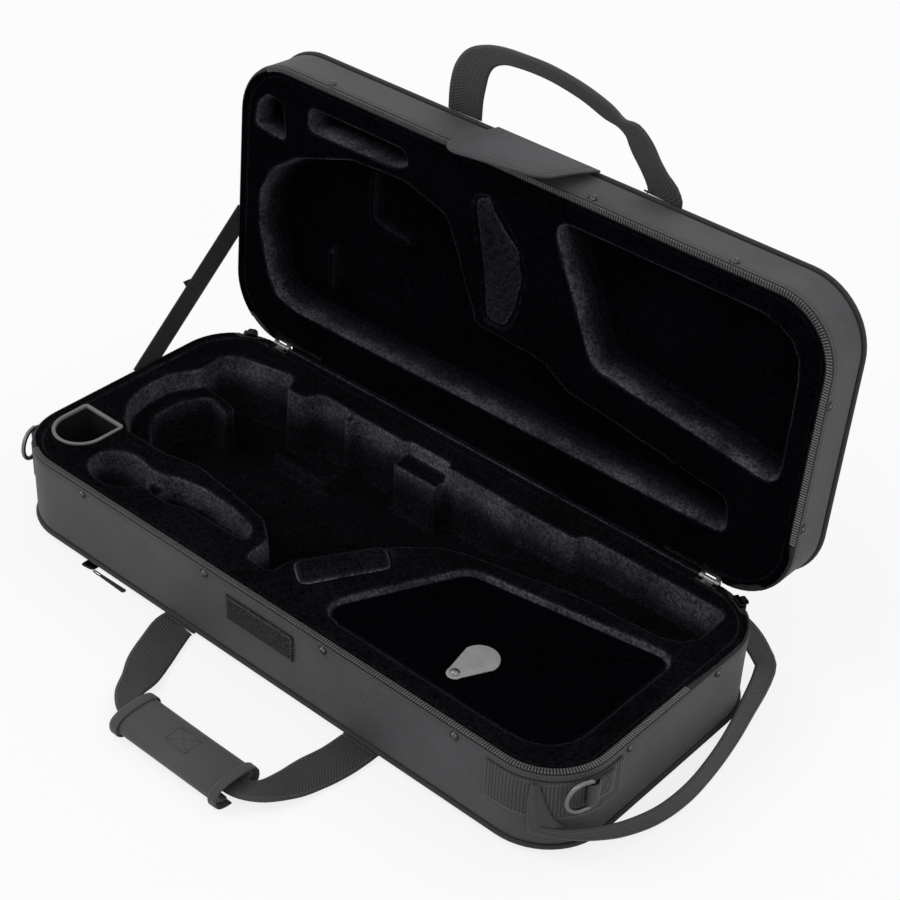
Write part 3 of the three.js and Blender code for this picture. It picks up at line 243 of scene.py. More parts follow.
def sharpened(tree, factor, low, high):
    """A noise spread out so that it runs from one value to another."""
    return node(tree, "ShaderNodeMapRange", {"Value": factor, "From Min": 0.34, "From Max": 0.66,
                                             "To Min": low, "To Max": high}).outputs["Result"]


def scaled(tree, colour, factor):
    """A colour times a factor."""
    inputs = {0: colour, "Scale": factor}
    return node(tree, "ShaderNodeVectorMath", inputs, operation="SCALE").outputs["Vector"]


def lean(tree, direction, facing):
    """How far a direction or a place reaches along the way that the plush faces."""
    inputs = {0: direction, 1: facing}
    return node(tree, "ShaderNodeVectorMath", inputs, operation="DOT_PRODUCT").outputs["Value"]


def plush_pile(name, level_stops, facing, rim=0.0, fade=(0.014, 0.034)):
    """Short black pile with painted light: near black where it lies level, painted shade where it lies deep,
    and a painted sheen lighter on slopes near the rim.
    """
    made, tree, shader = new_material(name)
    place = object_place(tree)
    level = lean(tree, node(tree, "ShaderNodeTexCoord").outputs["Normal"], facing)
    # Steep slopes are given a painted sheen, lighter than the level pile
    steep = mapped(tree, math_node(tree, "ABSOLUTE", level), 0.985, 0.6)
    uneven = math_node(tree, "MULTIPLY", noise(tree, place, 24, 3), 0.012)
    depth = math_node(tree, "ADD", math_node(tree, "SUBTRACT", rim, lean(tree, place, facing)), uneven)
    # Painted shade: the deeper the pile lies below the rim, the darker it is painted
    near = mapped(tree, depth, *fade, 1.0, 0.16)
    painted_slope_sheen = math_node(tree, "MULTIPLY", steep, sharpened(tree, noise(tree, place, 30, 4, 0.7), 0.62, 1.05))
    # Painted light: the painted sheen on slopes, dimmed by the painted shade in depth; it sets the colour and
    # the sheen weight
    brushed = math_node(tree, "MULTIPLY", painted_slope_sheen, near)
    pile = sharpened(tree, noise(tree, place, 380, 3, 0.7), 0.3, 1.75)
    streaks = sharpened(tree, noise(tree, place, 13, 5, 0.65), 0.72, 1.35)
    colour = scaled(tree, scaled(tree, ramp(tree, brushed, level_stops), pile), streaks)
    rough = bump(tree, noise(tree, place, 60, 4), 0.35, 0.0012)
    dressed(tree, shader, colour, bump(tree, pile, 0.6, 0.0006, rough),
            {"Roughness": 1.0, "Specular IOR Level": 0.0, "Sheen Roughness": 0.4,
             "Sheen Tint": shade((176, 176, 192))})
    tree.links.new(mapped(tree, brushed, low=0.015, high=0.2), shader.inputs["Sheen Weight"])
    return made


def grained(tree, place, grain):
    """Rounded cells of a moulded surface."""
    return node(tree, "ShaderNodeTexVoronoi", {"Vector": place, "Scale": grain}).outputs["Distance"]


def cup_moulding(name, rim_height, grain):
    """Moulded plastic of the cup: a rim painted light as a painted highlight, over darker walls that hold
    painted shade.
    """
    made, tree, shader = new_material(name)
    place = object_place(tree)
    height = node(tree, "ShaderNodeSeparateXYZ", {"Vector": place}).outputs["Z"]
    # Painted highlight on the rim's top, painted shade on the walls below it
    raised = mapped(tree, height, rim_height - 0.0012, rim_height)
    colour = ramp(tree, raised, [(0, 22), (1, 112)])
    cloudy = scaled(tree, colour, sharpened(tree, noise(tree, place, 60, 4), 0.85, 1.1))
    dressed(tree, shader, cloudy, bump(tree, grained(tree, place, grain), 0.35, 0.0003),
            {"Roughness": 0.5, "Specular IOR Level": 0.25})
    return made


def metal(name, value, roughness, scratch, brushed=1.0):
    """Metal with fine scratches and a slightly uneven polish."""
    made, tree, shader = new_material(name)
    place = object_place(tree)
    stretched = node(tree, "ShaderNodeMapping", {"Vector": place, "Scale": (1, 1, brushed)}).outputs["Vector"]
    marks = noise(tree, stretched, 900, 3)
    polish = mapped(tree, noise(tree, place, 160, 3), low=roughness * 0.75, high=roughness * 1.3)
    colour = tinted(tree, ramp(tree, marks, [(0.3, value), (0.7, value)]), marks, 0.85, 1.1)
    dressed(tree, shader, colour, bump(tree, marks, scratch, 0.0002), {"Metallic": 1.0})
    tree.links.new(polish, shader.inputs["Roughness"])
    return made


def moulded(name, value, roughness, grain, coat=0.0):
    """Moulded plastic or coated leather with a fine grain."""
    made, tree, shader = new_material(name)
    place = object_place(tree)
    cells = grained(tree, place, grain)
    colour = ramp(tree, noise(tree, place, 60, 4), [(0.3, value[0]), (0.7, value[1])])
    dressed(tree, shader, tinted(tree, colour, cells, 0.94, 1.06), bump(tree, cells, 0.35, 0.0003),
            {"Roughness": roughness, "Coat Weight": coat, "Coat Roughness": 0.35})
    return made


def hook_cloth(name):
    """Hook tape: rows of tiny stiff hooks."""
    made, tree, shader = new_material(name)
    place = object_place(tree)
    tufts = noise(tree, place, 420, 4, 0.75)
    colour = ramp(tree, tufts, [(0.38, 10), (0.62, 58)])
    dressed(tree, shader, tinted(tree, colour, grained(tree, place, 520.0), 1.3, 0.5),
            bump(tree, tufts, 0.9, 0.0012),
            {"Roughness": 0.8, "Sheen Weight": 0.03, "Specular IOR Level": 0.08})
    return made


def board_fibre(name):
    """Pressed board of the inner shell."""
    made, tree, shader = new_material(name)
    fibres = noise(tree, object_place(tree), 380, 5, 0.7)
    dressed(tree, shader, ramp(tree, fibres, [(0.3, (26, 24, 22)), (0.7, (38, 35, 32))]),
            bump(tree, fibres, 0.4, 0.0004), {"Roughness": 0.9})
    return made


def thread(name, value):
    """Sewing thread: two twisted strands."""
    made, tree, shader = new_material(name)
    twist = noise(tree, object_place(tree), 2400, 2)
    colour = tinted(tree, ramp(tree, twist, [(0.3, value), (0.7, value)]), twist, 0.7, 1.2)
    dressed(tree, shader, colour, bump(tree, twist, 0.5, 0.0002), {"Roughness": 0.6, "Sheen Weight": 0.2})
    return made


UP = (0, 0, 1)
# Where the open lid's plush faces, and how far along that way its rim lies
LID_FACING = (0, -math.sin(LID_OPEN), -math.cos(LID_OPEN))
LID_RIM = -(HINGE_Y * math.sin(LID_OPEN) + HINGE_Z * math.cos(LID_OPEN) + LID_PLUSH - HINGE_Z) * MM

MATERIALS = {
    "nylon": woven("nylon_cloth", [(0.3, (55, 55, 58)), (0.7, (65, 65, 68))], 0.0013, 0.66, 0.1, 0.0005,
                   0.42),
    "flap_nylon": woven("flap_cloth", [(0.3, (47, 46, 50)), (0.7, (56, 55, 60))], 0.0013, 0.7, 0.08,
                        0.0005, 0.3),
    "grip_cloth": woven("grip_cloth", [(0.3, 60), (0.7, 68)], 0.0014, 0.72, 0.15, 0.0004),
    # Copies of one black plush with painted light: each ramp runs from the level pile to a painted sheen on
    # slopes, and painted shade falls deep below the rim; the lid's level pile is painted darker as painted
    # shade, and the pads are painted lighter as painted light.
    "plush": plush_pile("plush_pile", [(0, (12, 12, 15)), (0.5, (32, 32, 37)), (1, (70, 70, 77))],
                        UP, PLUSH_TOP * MM, (0.02, 0.046)),
    "lid_plush": plush_pile("lid_plush_pile", [(0, (5, 5, 8)), (0.5, (28, 28, 33)), (1, (70, 69, 76))],
                            LID_FACING, LID_RIM, (0.012, 0.033)),
    "webbing": webbing_cloth("webbing_twill", [(0.3, 44), (0.7, 52)]),
    "band_webbing": webbing_cloth("band_ribs", [(0.3, 38), (0.7, 46)], 0.0031, 0.0, (0.3, 1.7), 0.06),
    "piping": woven("piping_cloth", [(0.3, 34), (0.7, 42)], 0.0012, 0.7, 0.1, 0.0003),
    "zip_cloth": woven("zip_tape_cloth", [(0.3, 16), (0.7, 22)], 0.0016, 0.75, 0.1, 0.0004),
    "zip_teeth": moulded("zip_coil_nylon", (72, 84), 0.36, 1500.0),
    "rivet_metal": metal("rivet_black_nickel", 74, 0.14, 0.12),
    "dark_metal": metal("slider_black", 34, 0.34, 0.2),
    "ring_metal": metal("ring_brushed", 112, 0.3, 0.5, 0.06),
    "steel": metal("hinge_steel", 128, 0.3, 0.3),
    "cup_plastic": cup_moulding("cup_plastic", 0.0833, 1200.0),
    "leather": moulded("tab_leather", (140, 152), 0.42, 900.0, 0.2),
    "hook_tape": hook_cloth("hook_tape"),
    "board": board_fibre("pressed_board"),
    "lid_pad_plush": plush_pile("lid_pad_pile", [(0, (25, 24, 29)), (0.5, (36, 36, 41)), (1, (62, 62, 68))],
                                LID_FACING, LID_RIM),
    "pad_plush": plush_pile("pad_pile", [(0, (18, 18, 22)), (0.4, (42, 42, 47)), (1, (92, 91, 98))],
                            UP, PLUSH_TOP * MM),
    "panel_plush": plush_pile("panel_plush", [(0, (4, 4, 7)), (1, (22, 22, 26))], UP, PANEL_TOP * MM),
    "thread": thread("sewing_thread", 70),
}


def tilted(points, angle):
    """Points turned about the x axis."""
    turned = same(points)
    y, z = turned[:, 1].copy(), turned[:, 2].copy()
    turned[:, 1] = y * math.cos(angle) - z * math.sin(angle)
    turned[:, 2] = y * math.sin(angle) + z * math.cos(angle)
    return turned


def opened(points):
    """Points of the closed lid turned back about the hinge line to where the open lid stands."""
    hinge_line = np.array([0, HINGE_Y, HINGE_Z])
    return tilted(same(points) - hinge_line, -LID_OPEN) + hinge_line


def same(points):
    """Points left where they are."""
    return np.array(points, float).reshape(-1, 3)


def quads(rows, columns, closed=False):
    """Faces of a grid of points that are numbered row by row."""
    faces = []
    for row in range(rows - 1):
        for column in range(columns if closed else columns - 1):
            after = (column + 1) % columns
            faces.append((row * columns + column, row * columns + after,
                          (row + 1) * columns + after, (row + 1) * columns + column))
    return faces


def grid_uvs(run, rise, wide):
    """UV pairs, in metres, of a grid's faces."""
    made = []
    for low, high in zip(rise, rise[1:]):
        for left, right in zip(run[:wide], run[1:wide + 1]):
            made.append([(left * MM, low * MM), (right * MM, low * MM), (right * MM, high * MM),
                         (left * MM, high * MM)])
    return made


def linked(name, data):
    """A new object in the scene."""
    made = bpy.data.objects.new(name, data)
    bpy.context.scene.collection.objects.link(made)
    return made


def refinished(made, material):
    """Gives an object one finish in place of what it has."""
    made.data.materials.clear()
    made.data.materials.append(MATERIALS[material])


def mirrored(height):
    """The height in the closed lid that matches a height in the base."""
    return 2 * PARTING - height


class Mesh:
    """Collects points in millimetres, faces and the UV pairs of their corners, in metres."""

    def __init__(self):
        self.points = []
        self.faces = []
        self.uvs = []

    def add(self, points, faces, uvs=None):
        """Adds points and faces; without UV pairs each corner takes its own x and y."""
        start = len(self.points)
        points = [tuple(map(float, p)) for p in points]
        self.points.extend(points)
        for number, face in enumerate(faces):
            self.faces.append([start + corner for corner in face])
            if uvs is None:
                self.uvs.append([(points[corner][0] * MM, points[corner][1] * MM) for corner in face])
            else:
                self.uvs.append(uvs[number])

    def grid(self, rows, run, rise, closed=False):
        """Adds a grid of points, rows by columns, with run along each row and rise from row to row."""
        rows = np.array(rows, float)
        count = rows.shape[1]
        uvs = grid_uvs(run, rise, count if closed else count - 1)
        self.add(rows.reshape(-1, 3), quads(len(rows), count, closed), uvs)

    def box(self, centre, axes, sizes, bevel=0.25):
        """Adds a small block with chamfered top edges; the third axis points outwards."""
        centre = np.array(centre, float)
        along, across, out = [np.array(axis, float) for axis in axes]
        half = [size / 2 for size in sizes]
        drawn = bevel * min(sizes)
        points = []
        for level, inward in ((-half[2], 0), (half[2] - drawn, 0), (half[2], drawn)):
            for first, second in SQUARE:
                points.append(centre + along * first * (half[0] - inward)
                              + across * second * (half[1] - inward) + out * level)
        faces = [(3, 2, 1, 0), (8, 9, 10, 11)]
        for ring in (0, 4):
            for corner in range(4):
                after = (corner + 1) % 4
                faces.append((ring + corner, ring + after, ring + 4 + after, ring + 4 + corner))
        self.add(points, faces)

    def object(self, name, material, place=same, merge=0.02, smooth=True, angle=None):
        """Makes the object; its faces are turned outwards and close points are joined."""
        mesh = bpy.data.meshes.new(name)
        points = place(self.points) * MM
        mesh.from_pydata([tuple(p) for p in points], [], self.faces)
        layer = mesh.uv_layers.new(name="Run")
        layer.data.foreach_set("uv", np.array([pair for face in self.uvs for pair in face], float).ravel())
        work = bmesh.new()
        work.from_mesh(mesh)
        bmesh.ops.remove_doubles(work, verts=work.verts, dist=merge * MM)
        bmesh.ops.recalc_face_normals(work, faces=work.faces)
        work.to_mesh(mesh)
        work.free()
        made = linked(name, mesh)
        made.data.materials.append(MATERIALS[material])
        made.data.polygons.foreach_set("use_smooth", [smooth] * len(mesh.polygons))
        if angle is not None:
            with bpy.context.temp_override(object=made, active_object=made, selected_editable_objects=[made]):
                bpy.ops.object.shade_smooth_by_angle(angle=math.radians(angle))
        return made


def settle(made, body, slot, *nodes):
    """Fixes a piece to its body and lets it stand for CAD nodes, which it hides; slot is not used."""
    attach(made, body)
    if nodes:
        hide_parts(*nodes)
    return made


def applied(made, kind, **settings):
    """Adds one modifier and applies it."""
    modifier = made.modifiers.new(kind.title(), kind)
    for name, value in settings.items():
        setattr(modifier, name, value)
    with bpy.context.temp_override(object=made, active_object=made):
        bpy.ops.object.modifier_apply(modifier=modifier.name)
    return made


def between(start, end, steps):
    """Points from start up to, and without, end."""
    start = np.array(start, float)
    end = np.array(end, float)
    return [start + (end - start) * step / steps for step in range(steps)]


def case_ring(inset, height):
    """Outline of the case at an inset, from the middle of the rear side round by the left end."""
    radius = CORNER_RADIUS - inset
    arcs = []
    for number, (side_x, side_y) in enumerate(((-1, 1), (-1, -1), (1, -1), (1, 1))):
        angles = [math.pi / 2 * (number + 1 + step / CORNER_STEPS) for step in range(CORNER_STEPS + 1)]
        arcs.append([(side_x * ARC_X + radius * math.cos(a), side_y * ARC_Y + radius * math.sin(a), height)
                     for a in angles])
    middle = (0, HALF_WIDTH - inset, height)
    half_steps = round(ARC_X / STRAIGHT_STEP)
    side_steps = round(2 * ARC_Y / STRAIGHT_STEP)
    points = between(middle, arcs[0][0], half_steps)
    for number, steps in ((0, side_steps), (1, 2 * half_steps), (2, side_steps)):
        points += arcs[number][:-1] + between(arcs[number][-1], arcs[number + 1][0], steps)
    points += arcs[3][:-1] + between(arcs[3][-1], middle, half_steps)
    return np.array(points, float)


def run_of(points, closed=False):
    """Distance along a line of points."""
    line = np.array(points, float)
    if closed:
        line = np.vstack([line, line[:1]])
    steps = np.linalg.norm(np.diff(line, axis=0), axis=1)
    return np.concatenate([[0], np.cumsum(steps)])


def rise_of(profile):
    """Distance along a profile of pairs."""
    return run_of([(0, first, second) for first, second in profile])


def resampled(points, pitch, closed=False):
    """Points at an even pitch along a line."""
    line = np.array(points, float)
    if closed:
        line = np.vstack([line, line[:1]])
    run = run_of(line)
    count = max(2, int(round(run[-1] / pitch)))
    places = np.linspace(0, run[-1], count + 1)
    return np.stack([np.interp(places, run, line[:, axis]) for axis in range(3)], axis=1)


def unit(vectors):
    """Vectors made one long."""
    vectors = np.array(vectors, float)
    length = np.linalg.norm(vectors, axis=-1, keepdims=True)
    return vectors / np.maximum(length, 1e-9)


def tangents(points, closed=False):
    """Direction of travel at each point of a line."""
    line = np.array(points, float)
    if closed:
        return unit(np.roll(line, -1, axis=0) - np.roll(line, 1, axis=0))
    return unit(np.gradient(line, axis=0))


def sew(target, points, outward, pitch=3.2, share=0.68, width=0.55, lift=0.18):
    """Adds a row of stitches along a line that lies on a surface; outward is its normal there."""
    line = resampled(points, pitch)
    outward = np.array(outward, float)
    normals = np.broadcast_to(outward, line.shape) if outward.ndim == 1 else None
    if normals is None:
        run = run_of(points)
        places = np.linspace(0, run[-1], len(line))
        normals = unit(np.stack([np.interp(places, run, outward[:, axis]) for axis in range(3)], axis=1))
    for number in range(len(line) - 1):
        start, end = line[number], line[number + 1]
        along = unit(end - start)
        out = unit(normals[number] + normals[number + 1])
        across = unit(np.cross(out, along))
        centre = (start + end) / 2 + out * lift
        target.box(centre, (along, across, out), (pitch * share, width, width), 0.3)


# Rows of the cover's profile: how far in from the outer face, and the height in the base
COVER_PROFILE = [
    (1.6, 8), (1.6, 80.9), (1.3, 81.7), (0.8, 82), (0.3, 81.8), (0.05, 81.2), (0.05, 80.1), (0.5, 79.6),
    (0.05, 79.1), (0.1, 76), (0.1, 72), (0.15, 66), (0.2, 58), (0.25, 50), (0.25, 42), (0.2, 34),
    (0.15, 26), (0.1, 19), (0.1, 14), (0.3, 11.4), (1, 9.8), (2, 8.9), (3.2, 7), (3.4, 5.2), (4.4, 4.5),
]
# Rows of the strip between the hinges: distance behind the middle of the case, and height
STRIP_PROFILE = [
    (139.4, 80), (139.4, 84.2), (139.7, 84.8), (140.3, 84.9), (140.8, 84.6), (141, 84),
    (141, 80),
]
PANEL_DRAWN = [0.03, 0.1, 0.2, 0.34, 0.5, 0.66, 0.82, 0.94, 1.0]
RIVET_HEIGHT = 76
FRONT_RIVETS = [-0.672, -0.19, 0.238, 0.672]
SIDE_RIVETS = [-0.41, 0.41]


def wavering(points, scale, seed):
    """Smooth noise from -1 to 1 at each point, for soft unevenness."""
    shift = Vector((seed * 13.7, seed * 7.1, seed * 3.3))
    return np.array([fractal.noise(Vector(p) * scale + shift) for p in points])


def rivet_places(height):
    """Each rivet's number, place on the wall and way out, at one height."""
    places = []
    for number, share in enumerate(FRONT_RIVETS):
        places.append((f"front_rivet_{number + 1}", (share * HALF_LENGTH, -HALF_WIDTH, height), (0, -1, 0)))
    for name, side in (("right", 1), ("left", -1)):
        for number, share in enumerate(SIDE_RIVETS):
            places.append((f"{name}_rivet_{number + 1}", (side * HALF_LENGTH, share * HALF_WIDTH, height),
                           (side, 0, 0)))
    return places


def dimpled(ring, row_inset, height, seed):
    """How far in the cloth lies at one row: pulled in at the rivets and a little uneven."""
    inward = np.full(len(ring), row_inset)
    if 10 < height < 80:
        inward += 0.22 + 0.22 * wavering(ring, 0.018, seed)
        for _, place, _ in rivet_places(RIVET_HEIGHT):
            away = np.linalg.norm(ring - np.array(place), axis=1)
            inward += 0.75 * np.exp(-(away / 6.5) ** 2)
    return inward


def cover_rows(height_of, seed):
    """The cover's walls as rows of points, from the inner side of the rim round to the closed end."""
    rows = []
    for inset, height in COVER_PROFILE:
        outer = case_ring(0, height)
        inner = case_ring(1, height)
        inward = dimpled(outer, inset, height, seed)
        row = outer + (inner - outer) * inward[:, None]
        notch = (row[:, 1] > ARC_Y) & (abs(abs(row[:, 0]) - HINGE_CENTRE) < HINGE_LENGTH / 2 + 1)
        row[notch, 2] = np.minimum(row[notch, 2], 80.4)
        row[:, 2] = height_of(row[:, 2])
        rows.append(row)
    return rows


def closed_end(target, edge, level, crown, height_of):
    """The flat end of a cover, slightly crowned, drawn in from the edge to a line along the middle."""
    spine = edge.copy()
    spine[:, 0] = np.clip(edge[:, 0], HALF_WIDTH - HALF_LENGTH, HALF_LENGTH - HALF_WIDTH)
    spine[:, 1] = 0
    rows = [edge]
    for share in PANEL_DRAWN:
        row = edge + (spine - edge) * share
        row[:, 2] = height_of(np.full(len(row), level - crown * (1 - (1 - min(share * 3, 1)) ** 2)))
        rows.append(row)
    target.add(np.vstack(rows), quads(len(rows), len(edge), closed=True))


def rear_strip(target, height_of):
    """The part of the cover that reaches up between the two hinges."""
    reach = HINGE_CENTRE - HINGE_LENGTH / 2 - 1
    places = np.linspace(-reach, reach, 60)
    rows = [[(x, y, float(height_of(np.array([z]))[0])) for x in places] for y, z in STRIP_PROFILE]
    target.grid(rows, places, rise_of(STRIP_PROFILE))


def cover(half, place, height_of, crown, seed):
    """Woven cover of one half."""
    target = Mesh()
    rows = cover_rows(height_of, seed)
    target.grid(rows, run_of(case_ring(0, 0), closed=True), rise_of(COVER_PROFILE), closed=True)
    closed_end(target, rows[-1], FOOT_GAP + 0.1, crown, height_of)
    rear_strip(target, height_of)
    settle(target.object(f"{half}_cover_cloth", "nylon", place), half, "nylon", f"{half}_cover")


def tube(target, line, radius, sides, closed, up=(0, 0, 1)):
    """Adds a round tube along a line."""
    line = np.array(line, float)
    along = tangents(line, closed)
    side = unit(np.cross(along, np.array(up, float)))
    top = np.cross(side, along)
    rows = []
    for number in range(sides + 1):
        angle = 2 * math.pi * number / sides
        rows.append(line + side * radius * math.cos(angle) + top * radius * math.sin(angle))
    rise = [number * 2 * math.pi * radius / sides for number in range(sides + 1)]
    target.grid(rows, run_of(line, closed), rise, closed)


def round_ends(target, line, radius, sides, up=(0, 0, 1)):
    """Closes both ends of an open tube with a small dome."""
    line = np.array(line, float)
    along = tangents(line)
    for end, way in ((0, -1), (-1, 1)):
        side = unit(np.cross(along[end], np.array(up, float)))
        top = np.cross(side, along[end])
        rows = []
        for lift, share in ((0, 1), (0.5, 0.8), (0.75, 0.45), (0.85, 0.01)):
            ring = [line[end] + along[end] * way * lift * radius
                    + side * radius * share * math.cos(2 * math.pi * n / sides)
                    + top * radius * share * math.sin(2 * math.pi * n / sides) for n in range(sides)]
            rows.append(ring)
        target.grid(rows, [n * 0.5 for n in range(sides + 1)], [0, 1, 2, 3], closed=True)


def piping(half, place, height):
    """Cloth piping sewn into the outer seam."""
    target = Mesh()
    tube(target, case_ring(PIPING_INSET, height), PIPING_RADIUS, 12, closed=True)
    made = target.object(f"{half}_piping_cloth", "piping", place)
    settle(made, half, "webbing", f"{half}_piping")


COIL_PITCH = 2.4


def kept_columns(reach):
    """Columns of the case outline that the zip runs along, without the rear gap."""
    ring = case_ring(0, 0)
    return [n for n, p in enumerate(ring) if not (p[1] > ARC_Y and abs(p[0]) < reach)]


def lined(ring, rear_fade):
    """Share of the plush's way out over the zip at each column: whole at the left and rear only."""
    left = np.interp(-ring[:, 0], [ARC_X + 8, ARC_X + 46], [0, 1])
    rear = np.interp(ring[:, 1], rear_fade, [0, 1])
    return np.maximum(left, rear)


def welt_share(ring, rear_fade):
    """The same share, with the plush held back beside the two sliders."""
    away = np.interp(np.abs(np.abs(ring[:, 0]) - SLIDER_X), [11, 15], [0, 1])
    return lined(ring, rear_fade) * np.where(ring[:, 1] > ARC_Y, away, 1)


# Rows of the welt: how far in, and share of its height, each where it is held back and drawn out
WELT_PROFILE = [
    (11.2, 11.2, -0.7, -0.7), (10, 10, 0.1, 0.2), (8.8, 8, 0.2, 0.62), (7.9, 5, 0.24, 0.92),
    (7.2, 3.2, 0.24, 1), (6.8, 2.4, 0.16, 0.9), (6.7, 2.1, 0.02, 0.62), (6.9, 2.4, -0.06, 0.5),
]
# How far in and how high the zip's tape and the core of its coil run
TAPE_PROFILE = [
    (0.5, 82.7), (0.7, 82.35), (4.5, 82.35), (8.3, 82.35), (8.5, 82.7), (8.3, 83.05), (5, 83.1),
    (2.5, 83.1), (0.7, 83.05), (0.5, 82.7),
]
CORE_PROFILE = [(0.6, 83.45), (5.4, 83.45), (5.4, 83.75), (0.6, 83.75), (0.6, 83.45)]


def plush_welt(half, place, top, proud, rear_fade, finish):
    """Rolled edge of the plush, which lies over the zip's tape where its share of the way out is whole."""
    columns = kept_columns(ARC_X - 0.5)
    share = welt_share(case_ring(0, 0)[columns], rear_fade)
    rows = []
    for near, far, low, high in WELT_PROFILE:
        inset = near + (far - near) * share
        outer, inner = case_ring(0, 0)[columns], case_ring(1, 0)[columns]
        row = outer + (inner - outer) * inset[:, None]
        row[:, 2] = top + proud * (low + (high - low) * share)
        rows.append(row)
    target = Mesh()
    target.grid(rows, run_of(rows[0]), rise_of([(near, high) for near, _, _, high in WELT_PROFILE]))
    settle(target.object(f"{half}_plush_welt", finish, place), half, "plush")


def zip_half(half, place, height_of, rear_fade):
    """Tape and coil of one half of the zip."""
    tape = Mesh()
    columns = kept_columns(ARC_X - 0.5)
    rows = [case_ring(inset, float(height_of(height)))[columns] for inset, height in TAPE_PROFILE]
    tape.grid(rows, run_of(rows[0]), rise_of(TAPE_PROFILE))
    settle(tape.object(f"{half}_tape_cloth", "zip_cloth", place), half, "zip_cloth", f"{half}_zip_tape")
    columns = kept_columns(296)
    rows = [case_ring(inset, float(height_of(height)))[columns] for inset, height in CORE_PROFILE]
    core = Mesh()
    core.grid(rows, run_of(rows[0]), rise_of(CORE_PROFILE))
    settle(core.object(f"{half}_coil_core", "zip_cloth", place), half, "zip_teeth", f"{half}_zip_coil")
    coil = Mesh()
    line = resampled(case_ring(3, float(height_of(84.45)))[columns], COIL_PITCH)
    along = tangents(line)
    bare = lined(line, rear_fade) < 0.45
    up = np.array([0, 0, 1 if height_of(84) > height_of(83) else -1], float)
    for centre, way in zip(line[bare], along[bare]):
        coil.box(centre, (way, unit(np.cross(up, way)), up), (0.6 * COIL_PITCH, 4.8, 1.8), 0.45)
    settle(coil.object(f"{half}_coil_teeth", "zip_teeth", place, merge=0.001, angle=40), half, "zip_teeth")


def vertex_rows(mesh, kind):
    """Places or normals of a mesh's points as rows."""
    found = np.empty(len(mesh.vertices) * 3)
    mesh.vertices.foreach_get(kind, found)
    return found.reshape(-1, 3)


def move_vertices(mesh, places):
    """Gives a mesh's points new places."""
    mesh.vertices.foreach_set("co", places.ravel())
    mesh.update()


def softened(node_name, name, material, body):
    """A plush form: the CAD solid with its edges rounded as foam under cloth rounds them."""
    made = linked(name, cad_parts[node_name].data.copy())
    refinished(made, material)
    applied(made, "REMESH", mode="VOXEL", voxel_size=PLUSH_VOXEL * MM, use_smooth_shade=True)
    applied(made, "SMOOTH", factor=0.6, iterations=7)
    return settle(made, body, "plush", node_name)


def creased(made, depth, scale, seed):
    """Moves the points of a plush form a little along their normals, so that walls and edges waver."""
    places = vertex_rows(made.data, "co")
    depth_here = wavering(places, scale, seed) * depth * MM
    move_vertices(made.data, places + vertex_rows(made.data, "normal") * depth_here[:, None])


def swollen(made, cap):
    """Swells a padded form with cloth under pressure, and lets no point move further than the cap."""
    applied(made, "REMESH", mode="VOXEL", voxel_size=PAD_VOXEL * MM, use_smooth_shade=True)
    applied(made, "SMOOTH", factor=0.5, iterations=3)
    start = vertex_rows(made.data, "co")
    cloth = made.modifiers.new("Cloth", "CLOTH")
    cloth.settings.use_pressure = True
    cloth.settings.uniform_pressure_force = CLOTH_PRESSURE
    cloth.settings.effector_weights.gravity = 0
    scene = bpy.context.scene
    for step in range(1, CLOTH_FRAMES + 1):
        scene.frame_set(step)
    shown = made.evaluated_get(bpy.context.evaluated_depsgraph_get())
    moved = vertex_rows(shown.data, "co") - start
    scene.frame_set(1)
    made.modifiers.remove(cloth)
    length = np.linalg.norm(moved, axis=1, keepdims=True)
    moved *= np.minimum(1, cap * MM / np.maximum(length, 1e-9))
    move_vertices(made.data, start + moved)
    return applied(made, "SUBSURF", levels=1)


def smooth_line(controls, pitch):
    """A centripetal Catmull-Rom line through rows of numbers, of which the first three are a place."""
    rows = np.array(controls, float)
    gaps = np.sqrt(np.linalg.norm(np.diff(rows[:, :3], axis=0), axis=1))
    knots = np.concatenate([[0], np.cumsum(gaps)])
    slopes = np.zeros_like(rows)
    steps = np.diff(rows, axis=0) / gaps[:, None]
    slopes[0], slopes[-1] = steps[0], steps[-1]
    for n in range(1, len(rows) - 1):
        wide = (rows[n + 1] - rows[n - 1]) / (knots[n + 1] - knots[n - 1])
        slopes[n] = steps[n - 1] - wide + steps[n]
    line = []
    for n, gap in enumerate(gaps):
        count = max(2, int(round(gap ** 2 / pitch)))
        for step in range(count):
            t = step / count
            line.append((2 * t ** 3 - 3 * t ** 2 + 1) * rows[n] + (t ** 3 - 2 * t ** 2 + t) * gap * slopes[n]
                        + (3 * t ** 2 - 2 * t ** 3) * rows[n + 1] + (t ** 3 - t ** 2) * gap * slopes[n + 1])
    line.append(rows[-1])
    return np.array(line)


def band_outline(columns):
    """Outline of webbing across its length, as shares of its width and thickness."""
    shares = [column / columns - 0.5 for column in range(columns + 1)]
    outline = [(share, 0.5) for share in shares] + [(share, -0.5) for share in shares[::-1]]
    return outline + outline[:1]


